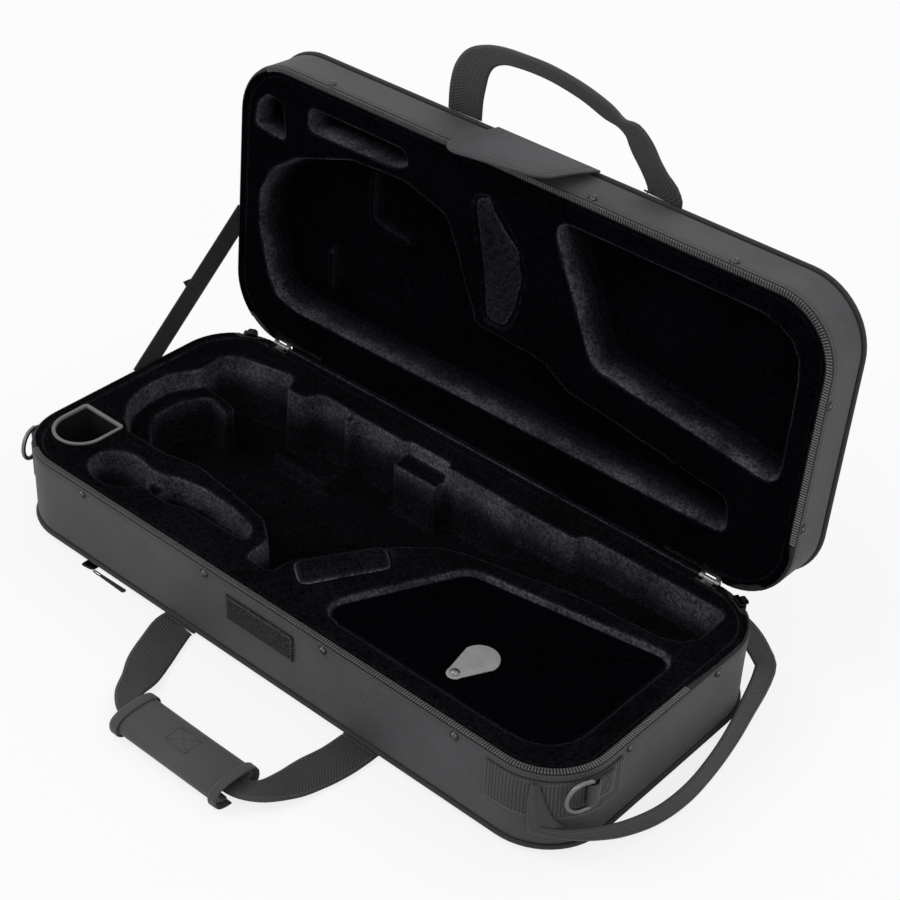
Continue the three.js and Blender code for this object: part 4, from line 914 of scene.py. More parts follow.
def ribbon(target, line, faces_out, widths, thicknesses, columns=8):
    """Adds a band of webbing along a line, with rounded edges; faces_out is the way its face looks."""
    along = tangents(line)
    across = unit(np.cross(along, np.array(faces_out, float)))
    out = np.cross(across, along)
    outline = band_outline(columns)
    widths = np.broadcast_to(widths, len(line))
    thicknesses = np.broadcast_to(thicknesses, len(line))
    rows = []
    for place, level in outline:
        edge = 1 - 0.55 * max(0.0, (abs(place) - 0.44) / 0.06)
        rows.append(line + across * (place * widths)[:, None] + out * (level * thicknesses * edge)[:, None])
    width = float(np.mean(widths))
    count = len(line)
    faces = quads(len(rows), count)
    uvs = grid_uvs(run_of(line), [place * width for place, _ in outline], count - 1)
    for column in (0, count - 1):
        for row in range(columns):
            other = len(outline) - 2 - row
            faces.append((row * count + column, (row + 1) * count + column,
                          (other - 1) * count + column, other * count + column))
            uvs.append([(0, 0)] * 4)
    target.add(np.vstack(rows), faces, uvs)
    return along, across, out


def edge_stitches(target, line, across, out, widths, thicknesses, inset, pitch=3.2):
    """Adds a row of stitches near each edge of a band."""
    reach = np.broadcast_to(widths, len(line)) / 2 - inset
    lift = np.broadcast_to(thicknesses, len(line)) / 2
    for side in (-1, 1):
        sew(target, line + across * (side * reach)[:, None] + out * lift[:, None], out, pitch)


def box_stitches(target, corner, first, second, out, pitch=3.0):
    """Adds a stitched rectangle with a cross in it, from one corner along two sides."""
    corner, first, second = (np.array(v, float) for v in (corner, first, second))
    opposite = corner + first + second
    for start, end in ((corner, corner + first), (corner + first, opposite), (opposite, corner + second),
                       (corner + second, corner), (corner, opposite), (corner + first, corner + second)):
        sew(target, [start, end], out, pitch)


def placed(shares):
    """Shares of half the length and half the width as points, anticlockwise."""
    points = [(x * HALF_LENGTH, y * HALF_WIDTH) for x, y in shares]
    area = sum(points[n - 1][0] * p[1] - p[0] * points[n - 1][1] for n, p in enumerate(points))
    return np.array(points[::-1] if area < 0 else points, float)


def rounded(points, radii, steps):
    """Rounds each corner of a closed outline by its own radius."""
    out = []
    count = len(points)
    for n in range(count):
        corner = points[n]
        back = points[n - 1] - corner
        ahead = points[(n + 1) % count] - corner
        half = math.acos(np.dot(unit(back), unit(ahead))) / 2
        reach = min(radii[n] / math.tan(half), np.linalg.norm(back) / 2, np.linalg.norm(ahead) / 2)
        start = corner + unit(back) * reach
        end = corner + unit(ahead) * reach
        for step in range(steps + 1):
            share = step / steps
            first = start + (corner - start) * share
            second = corner + (end - corner) * share
            out.append(first + (second - first) * share)
    return np.array(out)


def grown(outline, distance):
    """An anticlockwise outline moved outwards by a distance."""
    along = unit(np.roll(outline, -1, axis=0) - np.roll(outline, 1, axis=0))
    return outline + np.stack([along[:, 1], -along[:, 0]], axis=1) * distance


def at_height(outline, height):
    """A flat outline as points at one height."""
    return np.column_stack([outline, np.full(len(outline), height)])


# How far in to the middle each ring of a closed outline lies
FAN_SHARES = (0, 0.3, 0.6, 0.85, 1)


def stacked(target, outline, profile):
    """Adds a body of outlines, each grown and at a height, with flat ends."""
    rows = [at_height(grown(outline, grow), height) for grow, height in profile]
    target.grid(rows, run_of(rows[0], closed=True), rise_of(profile), closed=True)
    fanned(target, rows[0])
    fanned(target, rows[-1])


def two_faced(target, outer, inner, run, rise, depth):
    """Adds a sheet of two faces with a border between them."""
    target.grid(outer, run, rise)
    target.grid(inner, run, rise)
    foot, side = len(outer) - 1, len(outer[0]) - 1
    border = [(n, 0) for n in range(foot)] + [(foot, n) for n in range(side)]
    border += [(n, side) for n in range(foot, 0, -1)] + [(0, n) for n in range(side, 0, -1)]
    rim = [[face[row][column] for row, column in border] for face in (outer, inner)]
    target.grid(rim, run_of(rim[0], closed=True), [0, depth], closed=True)


def fanned(target, edge):
    """Closes a level outline with rings drawn in to its middle."""
    middle = edge.mean(axis=0)
    rows = [edge + (middle - edge) * share for share in FAN_SHARES]
    target.add(np.vstack(rows), quads(len(rows), len(edge), closed=True))


PANEL_SHARES = [(0.125, -0.785), (0.898, -0.785), (0.898, 0.292), (0.31, 0.075)]
PANEL_RADII = [0.31 * CORNER_RADIUS, 0.76 * CORNER_RADIUS, 0.24 * CORNER_RADIUS, 0.38 * CORNER_RADIUS]
CUP_CENTRE = (-0.884 * HALF_LENGTH, -0.585 * HALF_WIDTH)
CUP_WIDTH = 48
CUP_LENGTH = 50
CUP_DEPTH = 44
CUP_CORNER = 1.6
TAB_STUD = (0.537 * HALF_LENGTH, -0.645 * HALF_WIDTH)
TAB_LENGTH = 50
TAB_WIDTH = 33
TAB_TIP = 14
STUD_RADIUS = 4.2
STUD_HEIGHT = 1.7
TAB_TURN = math.radians(-8)


def compartment_panel():
    """Flat plush panel over the accessory compartment, with a wrapped edge."""
    target = Mesh()
    outline = rounded(placed(PANEL_SHARES), PANEL_RADII, 12)
    low = PANEL_TOP - PANEL_THICKNESS
    profile = [(-1.5, low), (-0.5, low + 0.4), (0, low + 1.3), (0, PANEL_TOP - 1.6), (-0.5, PANEL_TOP - 0.5),
               (-1.6, PANEL_TOP), (-4, PANEL_TOP + 0.15), (-12, PANEL_TOP + 0.2)]
    stacked(target, outline, profile)
    made = target.object("panel_plush", "panel_plush", angle=60)
    settle(made, "compartment_lid", "plush", "compartment_panel")


def arc(centre, radius, start, stop, steps):
    """Points round a centre; the angles are in half turns."""
    angles = [math.pi * (start + (stop - start) * step / steps) for step in range(steps + 1)]
    return [(centre[0] + radius * math.cos(a), centre[1] + radius * math.sin(a)) for a in angles]


def tab_outline():
    """Teardrop round the stud, wide towards the middle of the panel."""
    wide, narrow = TAB_WIDTH / 2, TAB_TIP / 2
    points = arc((0, TAB_LENGTH - narrow - wide), wide, 0, 1, 18) + arc((0, 0), narrow, 1, 2, 12)
    sine, cosine = math.sin(TAB_TURN), math.cos(TAB_TURN)
    return np.array([(x * cosine - y * sine + TAB_STUD[0], x * sine + y * cosine + TAB_STUD[1])
                     for x, y in points])


def pull_tab():
    """Leather tab with an edge that is pressed down, and its stud."""
    target = Mesh()
    low = PANEL_TOP + 0.3
    profile = [(-0.4, low), (0, low + 0.4), (0, low + 1.1), (-0.4, low + 1.5), (-1.2, low + 1.65),
               (-2, low + 1.5), (-2.8, low + 1.7), (-4.5, low + 1.9)]
    outline = tab_outline()
    stacked(target, outline, profile)
    settle(target.object("tab_leather", "leather", angle=50), "compartment_lid", "leather", "pull_tab")
    dome("tab_stud", (*TAB_STUD, low + 2.05), UP, STUD_RADIUS, STUD_HEIGHT, "compartment_lid",
         "pull_tab_stud", "steel", "rivet_metal")


def cup_outline():
    """Reed cup: flat towards the hinge side, round towards the front."""
    radius = CUP_WIDTH / 2
    reach = radius - CUP_CORNER
    rear = CUP_CENTRE[1] + CUP_LENGTH / 2 - CUP_CORNER
    round_y = CUP_CENTRE[1] - CUP_LENGTH / 2 + radius
    points = arc((CUP_CENTRE[0] + reach, rear), CUP_CORNER, 0, 0.5, 5)
    points += arc((CUP_CENTRE[0] - reach, rear), CUP_CORNER, 0.5, 1, 5)
    return np.array(points + arc((CUP_CENTRE[0], round_y), radius, 1, 2, 32))


def reed_cup():
    """Moulded cup with a flat rim that lies on the plush."""
    target = Mesh()
    rim = PLUSH_TOP + 0.3
    floor = PLUSH_TOP - CUP_DEPTH
    profile = [(-2, floor), (-0.6, floor + 0.6), (0, floor + 2), (0, rim), (2.2, rim), (2.5, rim + 0.4),
               (2.5, rim + 1.2), (2.1, rim + 1.6), (1.0, rim + 1.7), (-0.4, rim + 1.6), (-0.9, rim + 1.1),
               (-1.1, rim), (-1.6, floor + 12), (-2, floor + 4.5), (-3, floor + 3.2), (-5, floor + 2.6)]
    stacked(target, cup_outline(), profile)
    settle(target.object("cup_moulding", "cup_plastic", angle=50), "base", "cup_plastic", "reed_cup")


# A rivet from its rim to its crown, as shares of its radius and its height
DOME_SHARES = [
    (0.02, -0.2), (1, -0.2), (1.02, 0.12), (0.94, 0.26), (0.84, 0.2), (0.8, 0.3), (0.72, 0.62),
    (0.52, 0.88), (0.26, 0.98), (0.01, 1.0),
]


def dome(name, place, out, radius, height, body, node_name, finish, slot_name, where=same):
    """A turned rivet: a flat rim, a groove and a polished dome."""
    target = Mesh()
    out = unit(out)
    side = unit(np.cross(out, (0.3, 0.2, 1) if abs(out[2]) < 0.9 else (1, 0, 0)))
    top = np.cross(out, side)
    sides = 24
    rows = []
    for share, lift in DOME_SHARES:
        rows.append([np.array(place) + out * lift * height + radius * share
                     * (side * math.cos(2 * math.pi * n / sides) + top * math.sin(2 * math.pi * n / sides))
                     for n in range(sides)])
    target.grid(rows, list(range(sides + 1)), list(range(len(rows))), closed=True)
    made = target.object(name, finish, where, merge=0.06, angle=55)
    return settle(made, body, slot_name, node_name)


def box_mm(name):
    """Low and high corner of a CAD node in millimetres."""
    return [np.array(corner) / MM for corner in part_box(name)]


def rivets():
    """Every rivet of both halves."""
    for half, height, where in (("base", RIVET_HEIGHT, same), ("lid", mirrored(RIVET_HEIGHT), opened)):
        for name, place, out in rivet_places(height):
            dome(f"{half}_{name}_head", place, out, 4, 2.6, half, f"{half}_{name}", "rivet_metal",
                 "rivet_metal", where)


def wall_line(inset, height, start, end):
    """Part of the case outline between two places, found by the nearest columns."""
    ring = resampled(case_ring(inset, height), 2.5, closed=True)
    first = int(np.argmin(np.linalg.norm(ring[:, :2] - np.array(start), axis=1)))
    last = int(np.argmin(np.linalg.norm(ring[:, :2] - np.array(end), axis=1)))
    if first > last:
        return ring[last:first + 1][::-1]
    return ring[first:last + 1]


def outward_of(line, closed=False):
    """The way out of the case along a level line on its wall."""
    along = tangents(line, closed)
    out = np.cross(along, (0, 0, 1))
    middle = line.mean(axis=0)
    turned = np.sum(out * (line - np.array([0, 0, middle[2]])), axis=1) < 0
    out[turned] *= -1
    return unit(out)


def band_line(side):
    """The level line that a corner band follows, which starts further round on the left."""
    start = (246.4, -HALF_WIDTH - 1.05) if side > 0 else (-307.2, -121)
    return wall_line(-1.05, 57, start, (side * (HALF_LENGTH + 1.05), -66.3))


def corner_band(name, side):
    """Webbing sewn round a front corner."""
    line = band_line(side)
    out = outward_of(line)
    target = Mesh()
    _, across, _ = ribbon(target, line, out, WEBBING_WIDTH, WEBBING_THICKNESS, columns=12)
    settle(target.object(f"band_{name}_webbing", "band_webbing"), "base", "webbing", f"corner_band_{name}")
    seams = Mesh()
    edge_stitches(seams, line, across, out, WEBBING_WIDTH, WEBBING_THICKNESS, 2.2)
    for end in (2, -3):
        start = line[end] + across[end] * 16.5 + out[end] * 0.75
        sew(seams, [start, start - across[end] * 33], out[end])
    settle(seams.object(f"band_{name}_stitches", "thread"), "base", "webbing")


# D-ring: its way round the corner, its bar's height and distance out, and its wire
RING_TURN = math.radians(21)
RING_HEIGHT = 64
RING_STAND = 5.9
RING_BOW = 14
RING_REACH = 8
RING_WIRE = 2


def ring_frame(side):
    """Place of the D-ring's bar and the ways out and forwards from it."""
    angle = RING_TURN
    out = np.array([side * math.cos(angle), -math.sin(angle), 0])
    forward = np.array([-side * math.sin(angle), -math.cos(angle), 0])
    bar = np.array([side * ARC_X, -ARC_Y, RING_HEIGHT]) + out * (CORNER_RADIUS + RING_STAND)
    return bar, out, forward


def d_ring(name, side):
    """Drawn wire bent to a D, with its bar in the webbing loop."""
    bar, out, forward = ring_frame(side)
    turns = np.linspace(-math.pi / 2, math.pi / 2, 25)
    bow = [(RING_REACH + RING_BOW * math.cos(turn), RING_BOW * math.sin(turn)) for turn in turns]
    outline = np.array([(0, 11.5), (0.8, 13.3), *bow[::-1], (0.8, -13.3), (0, -11.5)])
    outline = resampled(np.column_stack([outline, np.zeros(len(outline))]), 1.5, closed=True)[:-1, :2]
    line = np.array([bar + forward * x + np.array([0, 0, z]) for x, z in outline])
    keep = np.linalg.norm(line - np.roll(line, -1, axis=0), axis=1) > 0.05
    target = Mesh()
    tube(target, line[keep], RING_WIRE, 16, closed=True, up=out)
    settle(target.object(f"ring_{name}_wire", "ring_metal"), f"{name}_ring", "ring_metal", f"d_ring_{name}")


# Webbing keeper: how far out its two layers lie, the radius of its fold and its width
KEEPER_IN = 2.8
KEEPER_OUT = 4.3
KEEPER_TURN = 3.1
KEEPER_WIDTH = 22.4


def ring_keeper(name, side):
    """Webbing folded round the bar, with both layers sewn down behind it."""
    bar, out, forward = ring_frame(side)
    tail = wall_line(-KEEPER_IN, RING_HEIGHT, (side * (HALF_LENGTH + KEEPER_IN), bar[1] + 24),
                     tuple((bar - out * KEEPER_TURN)[:2]))
    turn = [bar + KEEPER_TURN * (-out * math.cos(a) + forward * math.sin(a))
            for a in np.linspace(0, math.pi, 9)]
    back = wall_line(-KEEPER_OUT, RING_HEIGHT, tuple((bar - forward * 9)[:2]),
                     (side * (HALF_LENGTH + KEEPER_OUT), bar[1] + 23))
    line = np.vstack([tail[:-1], turn, [bar + out * 2.4 - forward * 4], back])
    line = smooth_line(resampled(line, 2.4), 1.6)
    along = tangents(line)
    target = Mesh()
    ribbon(target, line, np.cross(UP, along), KEEPER_WIDTH, 1.3)
    settle(target.object(f"keeper_{name}_webbing", "webbing"), "base", "webbing", f"ring_keeper_{name}")
    seams = Mesh()
    centre = back[-5]
    outward = outward_of(back)[-5]
    run = tangents(back)[-5]
    box_stitches(seams, centre + np.array([0, 0, -8]) - run * 6 + outward * 0.75, run * 11,
                 np.array([0, 0, 16]), outward, 2.4)
    settle(seams.object(f"keeper_{name}_stitches", "thread"), "base", "webbing")


# Hook tape on the front wall, and how far in its seam runs along each side
PATCH_CENTRE = (5, 57)
PATCH_LENGTH = 78
PATCH_HEIGHT = 26
PATCH_GAP = 0.3
PATCH_EDGE = 0.7
PATCH_SEAM = (1.8, 1.6)


def hook_patch():
    """Hook tape sewn to the front wall."""
    centre_x, centre_z = PATCH_CENTRE
    front = -HALF_WIDTH - PATCH_GAP
    long, high = PATCH_LENGTH / 2, PATCH_HEIGHT / 2
    target = Mesh()
    columns = np.linspace(-long, long, 40)
    levels = np.linspace(-high, high, 14)
    rows = []
    for level in levels:
        row = []
        for column in columns:
            edge = min(long - abs(column), high - abs(level))
            lift = PATCH_EDGE + min(edge / 2.4, 1) ** 0.5
            row.append((centre_x + column, front - lift, centre_z + level))
        rows.append(row)
    target.grid(rows, columns, levels)
    back = [[(centre_x + column, front, centre_z + level) for column in columns] for level in (-high, high)]
    target.grid(back, columns, [-high, high])
    rim = [(centre_x + a * long, front, centre_z + b * high) for a, b in SQUARE]
    raised = [(x, front - PATCH_EDGE, z) for x, _, z in rim]
    target.grid([rim, raised], run_of(rim, closed=True), [0, 1], closed=True)
    settle(target.object("patch_hooks", "hook_tape", angle=40), "base", "hook_tape", "hook_patch")
    seams = Mesh()
    seam = front - 2 * PATCH_EDGE
    ring = [(centre_x + a * (long - PATCH_SEAM[0]), seam, centre_z + b * (high - PATCH_SEAM[1]))
            for a, b in (*SQUARE, SQUARE[0])]
    for start, end in zip(ring, ring[1:]):
        sew(seams, [start, end], (0, -1, 0), 2.8)
    settle(seams.object("patch_stitches", "thread"), "base", "hook_tape")


BASE_HANDLE_SHARES = [
    (-1.00, 0, 0, 1, 1), (-1.00, 0.05, 0, 1, 1), (-0.93, 0.24, 0, 1, 1), (-0.84, 0.45, 0, 1, 1),
    (-0.73, 0.64, 0.25, 0.86, 1.4), (-0.62, 0.86, 0.8, 0.62, 2.2), (-0.49, 0.975, 1, 0.52, 2.5),
    (-0.36, 1, 1, 0.52, 2.5), (0.15, 1, 1, 0.52, 2.5), (0.62, 1, 1, 0.52, 2.5),
    (0.75, 0.98, 1, 0.52, 2.5), (0.86, 0.88, 0.8, 0.62, 2.2), (0.92, 0.67, 0.25, 0.86, 1.4),
    (0.95, 0.45, 0, 1, 1), (0.99, 0.24, 0, 1, 1), (1.00, 0.05, 0, 1, 1), (1.00, 0, 0, 1, 1),
]
LID_HANDLE_SHARES = [
    (-1.00, 0, 0, 1, 1), (-1.00, 0.07, 0, 1, 1), (-0.995, 0.3, 0, 1, 1), (-0.965, 0.53, 0, 0.97, 1.1),
    (-0.90, 0.73, 0, 0.82, 1.5), (-0.79, 0.88, 0, 0.56, 2.6), (-0.64, 0.97, 0, 0.40, 3.6),
    (-0.45, 1, 0, 0.35, 4), (-0.17, 1, 0, 0.35, 4), (0.17, 0.92, 0, 0.36, 4), (0.42, 0.8, 0, 0.36, 4),
    (0.54, 0.735, 0, 0.22, 4), (0.65, 0.68, 0, 0.5, 2.6), (0.75, 0.53, 0, 0.64, 1.8),
    (0.84, 0.36, 0, 0.62, 1.6), (0.92, 0.21, 0, 0.68, 1.4), (0.97, 0.11, 0, 0.85, 1.1),
    (0.98, 0.05, 0, 1, 1), (0.98, 0, 0, 1, 1),
]
# Strap of the end handle, as shares: out, along the width, up, wide, and how far its face is turned
END_HANDLE_SHARES = [
    (0.335, -0.972, 0.46, 0.42, 0), (0.44, -0.925, 0.41, 0.46, 0), (0.535, -0.872, 0.37, 0.52, 0),
    (0.625, -0.80, 0.31, 0.6, 0.03), (0.73, -0.69, 0.22, 0.7, 0.08), (0.83, -0.54, 0.11, 0.8, 0.16),
    (0.926, -0.319, 0.02, 0.88, 0.26), (0.958, -0.064, 0, 0.93, 0.36), (0.905, 0.231, 0.01, 0.95, 0.46),
    (0.81, 0.50, 0.03, 0.97, 0.56), (0.71, 0.72, 0.09, 0.95, 0.7), (0.64, 0.88, 0.17, 0.95, 0.85),
    (0.59, 0.97, 0.24, 0.95, 0.95), (0.55, 1.02, 0.32, 0.95, 1), (0.46, 1.035, 0.46, 0.95, 1),
    (0.33, 1.04, 0.65, 0.98, 1), (0.154, 1.025, 0.88, 0.95, 0.8), (0.05, 1.006, 0.99, 0.85, 0.3),
    (0, 1.0045, 1, 0.85, 0),
]
END_HANDLE_FACE = (0.62, -0.45, 0.64)
END_HANDLE_WIDTH = 20
# Gathered root: height, and the angles round the corner of its left and right edges
GATHER_ROWS = [
    (75, 25.5, 31), (70, 24.8, 33), (62, 24.2, 35.5), (54, 24, 38), (46, 24, 41), (39, 24.3, 45),
    (33, 24.8, 50), (28.5, 25.4, 55), (25.6, 26, 57.5), (24, 26.6, 57),
]
BASE_HANDLE_REACH = 104.5
LID_HANDLE_REACH = 68.7
HANDLE_ROOT_BACK = 0.35
STAY_WIDTH = 25
STAY_TAB = ((12, 0), (12, 9), (19, 2))
LEG_HEIGHT = 2.95
GRIP_HEIGHT = 11.2
GRIP_LENGTH = 124
GRIP_WIDTH = 46
GRIP_THICKNESS = 22


def handle_line(shares, reach, rise):
    """Rows of place, width and thickness along a handle, in the frame of its pivot line."""
    controls = []
    for spread, far, up, width, layers in shares:
        forward = HANDLE_ROOT_BACK - far * (reach + HANDLE_ROOT_BACK)
        controls.append((HANDLE_MIDDLE + spread * HANDLE_SPREAD, forward, up * rise,
                         width * WEBBING_WIDTH, layers * WEBBING_THICKNESS))
    return smooth_line(controls, 4)


def in_base_handle(points):
    """From the base handle's pivot frame to the row frame."""
    return same(points) + np.array([0, -HANDLE_PIVOT, LEG_HEIGHT])


def in_lid_handle(points):
    """From the lid handle's pivot frame, in which it reaches forwards, to where it stands at rest."""
    pivot = np.array([0, -HANDLE_PIVOT, LID_TOP - PIPING_RADIUS])
    return opened(tilted(points, LID_OPEN - math.pi / 2) + pivot)


def webbing_handle(name, body, shares, reach, rise, place):
    """A carrying handle of webbing, narrower and doubled along its grip."""
    rows = handle_line(shares, reach, rise)
    line, widths, depths = rows[:, :3], rows[:, 3], rows[:, 4]
    target = Mesh()
    faces_out = np.tile((0.0, 0.0, 1.0), (len(line), 1))
    _, across, out = ribbon(target, line, faces_out, widths, depths, columns=12)
    settle(target.object(f"{name}_webbing", "webbing", place), body, "webbing", name)
    seams = Mesh()
    edge_stitches(seams, line, across, out, widths, depths, 2.4)
    settle(seams.object(f"{name}_stitches", "thread", place), body, "webbing")


def end_handle():
    """Webbing handle on the right end, folded double, its face upright."""
    controls = []
    for out, across, up, width, turn in END_HANDLE_SHARES:
        thin = max(up - 0.8, 0) / 0.2
        controls.append((272 + out * 78, across * HALF_WIDTH, 10.5 + up * 46.5, END_HANDLE_WIDTH * width,
                         2.8 - 1.3 * thin, turn))
    rows = smooth_line(controls, 4)
    line, widths, depths, turns = rows[:, :3], rows[:, 3], rows[:, 4], rows[:, 5]
    outward = unit(np.cross(tangents(line), (0, 0, 1)))
    looks = outward * (1 - turns)[:, None] + np.outer(turns, END_HANDLE_FACE)
    target = Mesh()
    _, across, out = ribbon(target, line, looks, widths, depths, columns=10)
    settle(target.object("end_handle_webbing", "webbing"), "end_carry_handle", "webbing", "end_handle")
    seams = Mesh()
    edge_stitches(seams, line, across, out, widths, depths, 2.2)
    settle(seams.object("end_handle_stitches", "thread"), "end_carry_handle", "webbing")
    gathered_root()


def gathered_root():
    """Front root of the end handle: webbing pleated under the rim, which fans out down to its fold."""
    columns = 28
    front = []
    back = []
    for number, (height, left, right) in enumerate(GATHER_ROWS):
        down = number / (len(GATHER_ROWS) - 1)
        ends = 1 if number < len(GATHER_ROWS) - 1 else 0.4
        front.append([])
        back.append([])
        for column in range(columns + 1):
            share = column / columns
            angle = math.radians(left + (right - left) * share)
            swell = math.sin(math.pi * share) ** 0.6 * (1.6 + 3.6 * down) * ends
            pleat = 0.55 * math.cos(5 * math.pi * share) * math.sin(math.pi * share) * (1 - 0.4 * down)
            outward = CORNER_RADIUS + 3.2 + swell + pleat
            way = np.array([math.sin(angle), -math.cos(angle), 0])
            corner = np.array([ARC_X, -ARC_Y, height])
            front[-1].append(corner + way * outward)
            back[-1].append(corner + way * (CORNER_RADIUS + 2.5))
    target = Mesh()
    run = np.linspace(0, 26, columns + 1)
    rise = [GATHER_ROWS[0][0] - row[0] for row in GATHER_ROWS]
    two_faced(target, front, back, run, rise, WEBBING_THICKNESS)
    made = target.object("end_handle_gather", "webbing", merge=0.05, angle=70)
    made = applied(made, "SUBSURF", levels=1)
    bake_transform(made)


def wrap_section(grow, steps=10):
    """Outline of the padded wrap across its length: a flat oval, open underneath."""
    half_width = GRIP_WIDTH / 2 + grow
    half_height = GRIP_THICKNESS / 2 + grow
    points = []
    for step in range(steps * 4 + 1):
        angle = -math.pi / 2 + 0.16 + (2 * math.pi - 0.32) * step / (steps * 4)
        cosine, sine = math.cos(angle), math.sin(angle)
        power = 0.72
        points.append((half_width * math.copysign(abs(cosine) ** power, cosine),
                       half_height * math.copysign(abs(sine) ** power, sine)))
    return points


def handle_wrap():
    """Padded wrap round the base handle's grip, with hemmed ends and a stitched patch."""
    start = HANDLE_MIDDLE + 0.145 * HANDLE_SPREAD - GRIP_LENGTH / 2
    outer = wrap_section(-1.2)
    inner = wrap_section(-5.2)
    loop = outer + inner[::-1] + [outer[0]]
    places = np.linspace(2, GRIP_LENGTH - 2, 32)
    rows = [[(start + place, -BASE_HANDLE_REACH + y, GRIP_HEIGHT - LEG_HEIGHT + z) for place in places]
            for y, z in loop]
    target = Mesh()
    target.grid(rows, places, rise_of(loop))
    count = len(outer)
    for column in (0, len(places) - 1):
        points = [rows[n][column] for n in range(2 * count)]
        target.add(points, [(n, n + 1, 2 * count - 2 - n, 2 * count - 1 - n) for n in range(count - 1)])
    made = target.object("wrap_padding", "grip_cloth", in_base_handle)
    swollen(made, WRAP_SWELL)
    settle(made, "base_carry_handle", "grip_cloth", "handle_wrap")
    hems = Mesh()
    seams = Mesh()
    for place, way in ((5, 1), (GRIP_LENGTH - 5, -1)):
        line = [(start + place, -BASE_HANDLE_REACH + y, GRIP_HEIGHT - LEG_HEIGHT + z)
                for y, z in wrap_section(0.35)]
        line = resampled(line, 3)
        out = unit(line - np.array([start + place, -BASE_HANDLE_REACH, GRIP_HEIGHT - LEG_HEIGHT]))
        ribbon(hems, line, out, 9, 1.1, columns=4)
        sew(seams, line + np.array([way * 3.2, 0, 0]) + out * 0.5, out)
    settle(hems.object("wrap_hems", "grip_cloth", in_base_handle), "base_carry_handle", "grip_cloth")
    top = GRIP_THICKNESS / 2 + GRIP_HEIGHT - LEG_HEIGHT + 0.3
    box_stitches(seams, (start + 50, -BASE_HANDLE_REACH - 9, top), (24, 0, 0), (0, 18, 0), (0, 0, 1))
    settle(seams.object("wrap_stitches", "thread", in_base_handle), "base_carry_handle", "grip_cloth")


FLAP_WIDTH = 110
FLAP_LENGTH = 74
FLAP_CORNER = 20
FLAP_BOW = 8
FLAP_DRIFT = 6
FLAP_LIFT = math.radians(3)
FLAP_PIVOT = 144.3
FLAP_MIDDLE_SHARE = 0.0031


def flap_point(across, down, lift=0.0):
    """A place on the flap's cloth in the frame of its pivot line."""
    beyond = max(down * FLAP_LENGTH - FLAP_LENGTH + FLAP_CORNER, 0)
    inward = FLAP_CORNER - math.sqrt(max(FLAP_CORNER ** 2 - beyond ** 2, 0))
    span = FLAP_WIDTH / 2 - inward
    bow = FLAP_BOW * across * math.sin(math.pi * down / 2)
    return ((2 * across - 1) * span - FLAP_DRIFT * down, -bow - lift, HANDLE_ROOT_BACK - down * FLAP_LENGTH)


def in_flap(points):
    """From the flap's pivot frame to where it hangs from the open lid."""
    pivot = np.array([-FLAP_MIDDLE_SHARE * HALF_LENGTH, -FLAP_PIVOT, LID_TOP - PIPING_RADIUS])
    return opened(tilted(points, -FLAP_LIFT) + pivot)


def front_flap():
    """Closing flap: woven cloth with a stitched hem."""
    target = Mesh()
    across_steps, down_steps = 36, 32
    shares = [1 - (1 - n / down_steps) ** 1.35 for n in range(down_steps + 1)]
    outer = [[flap_point(a / across_steps, d, 0.9) for a in range(across_steps + 1)] for d in shares]
    inner = [[flap_point(a / across_steps, d, -0.8) for a in range(across_steps + 1)] for d in shares]
    run = [a * FLAP_WIDTH / across_steps for a in range(across_steps + 1)]
    rise = [d * FLAP_LENGTH for d in shares]
    two_faced(target, outer, inner, run, rise, 1.7)
    made = target.object("flap_cloth", "flap_nylon", in_flap, merge=0.1, angle=60)
    settle(made, "flap", "nylon", "front_flap")
    seams = Mesh()
    for inset in (3.5, 9):
        side = inset / FLAP_WIDTH
        foot = 1 - inset / FLAP_LENGTH
        whole = [flap_point(side, down, 0.95) for down in np.linspace(0.02, foot, 40)]
        whole += [flap_point(across, foot, 0.95) for across in np.linspace(side, 1 - side, 30)[1:-1]]
        whole += [flap_point(1 - side, down, 0.95) for down in np.linspace(foot, 0.02, 40)]
        sew(seams, whole, (0, -1, 0), 3.4)
    stitches = seams.object("flap_stitches", "thread", in_flap)
    settle(stitches, "flap", "nylon")


def stay_strap():
    """Stay between base and lid: taut webbing with a cross seam and a small tab at its crease."""
    x = -HALF_LENGTH - 0.9
    low = np.array([x, 0.14 * HALF_WIDTH, COVER_TOP - 7])
    high = opened([(x, 0.177 * HALF_WIDTH, mirrored(COVER_TOP) + 7)])[0]
    count = 60
    line = np.array([low + (high - low) * n / (count - 1) for n in range(count)])
    out = np.tile((-1.0, 0.0, 0.0), (count, 1))
    target = Mesh()
    ribbon(target, line, out, STAY_WIDTH, 1.2, columns=10)
    along = unit(high - low)
    across = unit(np.cross(along, (-1, 0, 0)))
    middle = (low + high) / 2
    tab = [middle + across * aside + along * up for aside, up in STAY_TAB]
    for level in (0.2, 0.9):
        target.add([p + np.array([-level, 0, 0]) for p in tab], [(0, 1, 2)])
    webbing = target.object("stay_webbing", "webbing")
    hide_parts("stay_strap")
    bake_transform(webbing)
    seams = Mesh()
    for shift in (-1.5, 1.5):
        start = middle + along * shift + across * 11 + np.array([-0.6, 0, 0])
        sew(seams, [start, start - across * 22], (-1, 0, 0), 2.6)
    for end, way in ((low, 1), (high, -1)):
        corner = end + along * way * 3 - across * 9 + np.array([-0.6, 0, 0])
        box_stitches(seams, corner, along * way * 12, across * 18, (-1, 0, 0), 2.6)
    stitches = seams.object("stay_stitches", "thread")
    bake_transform(stitches)


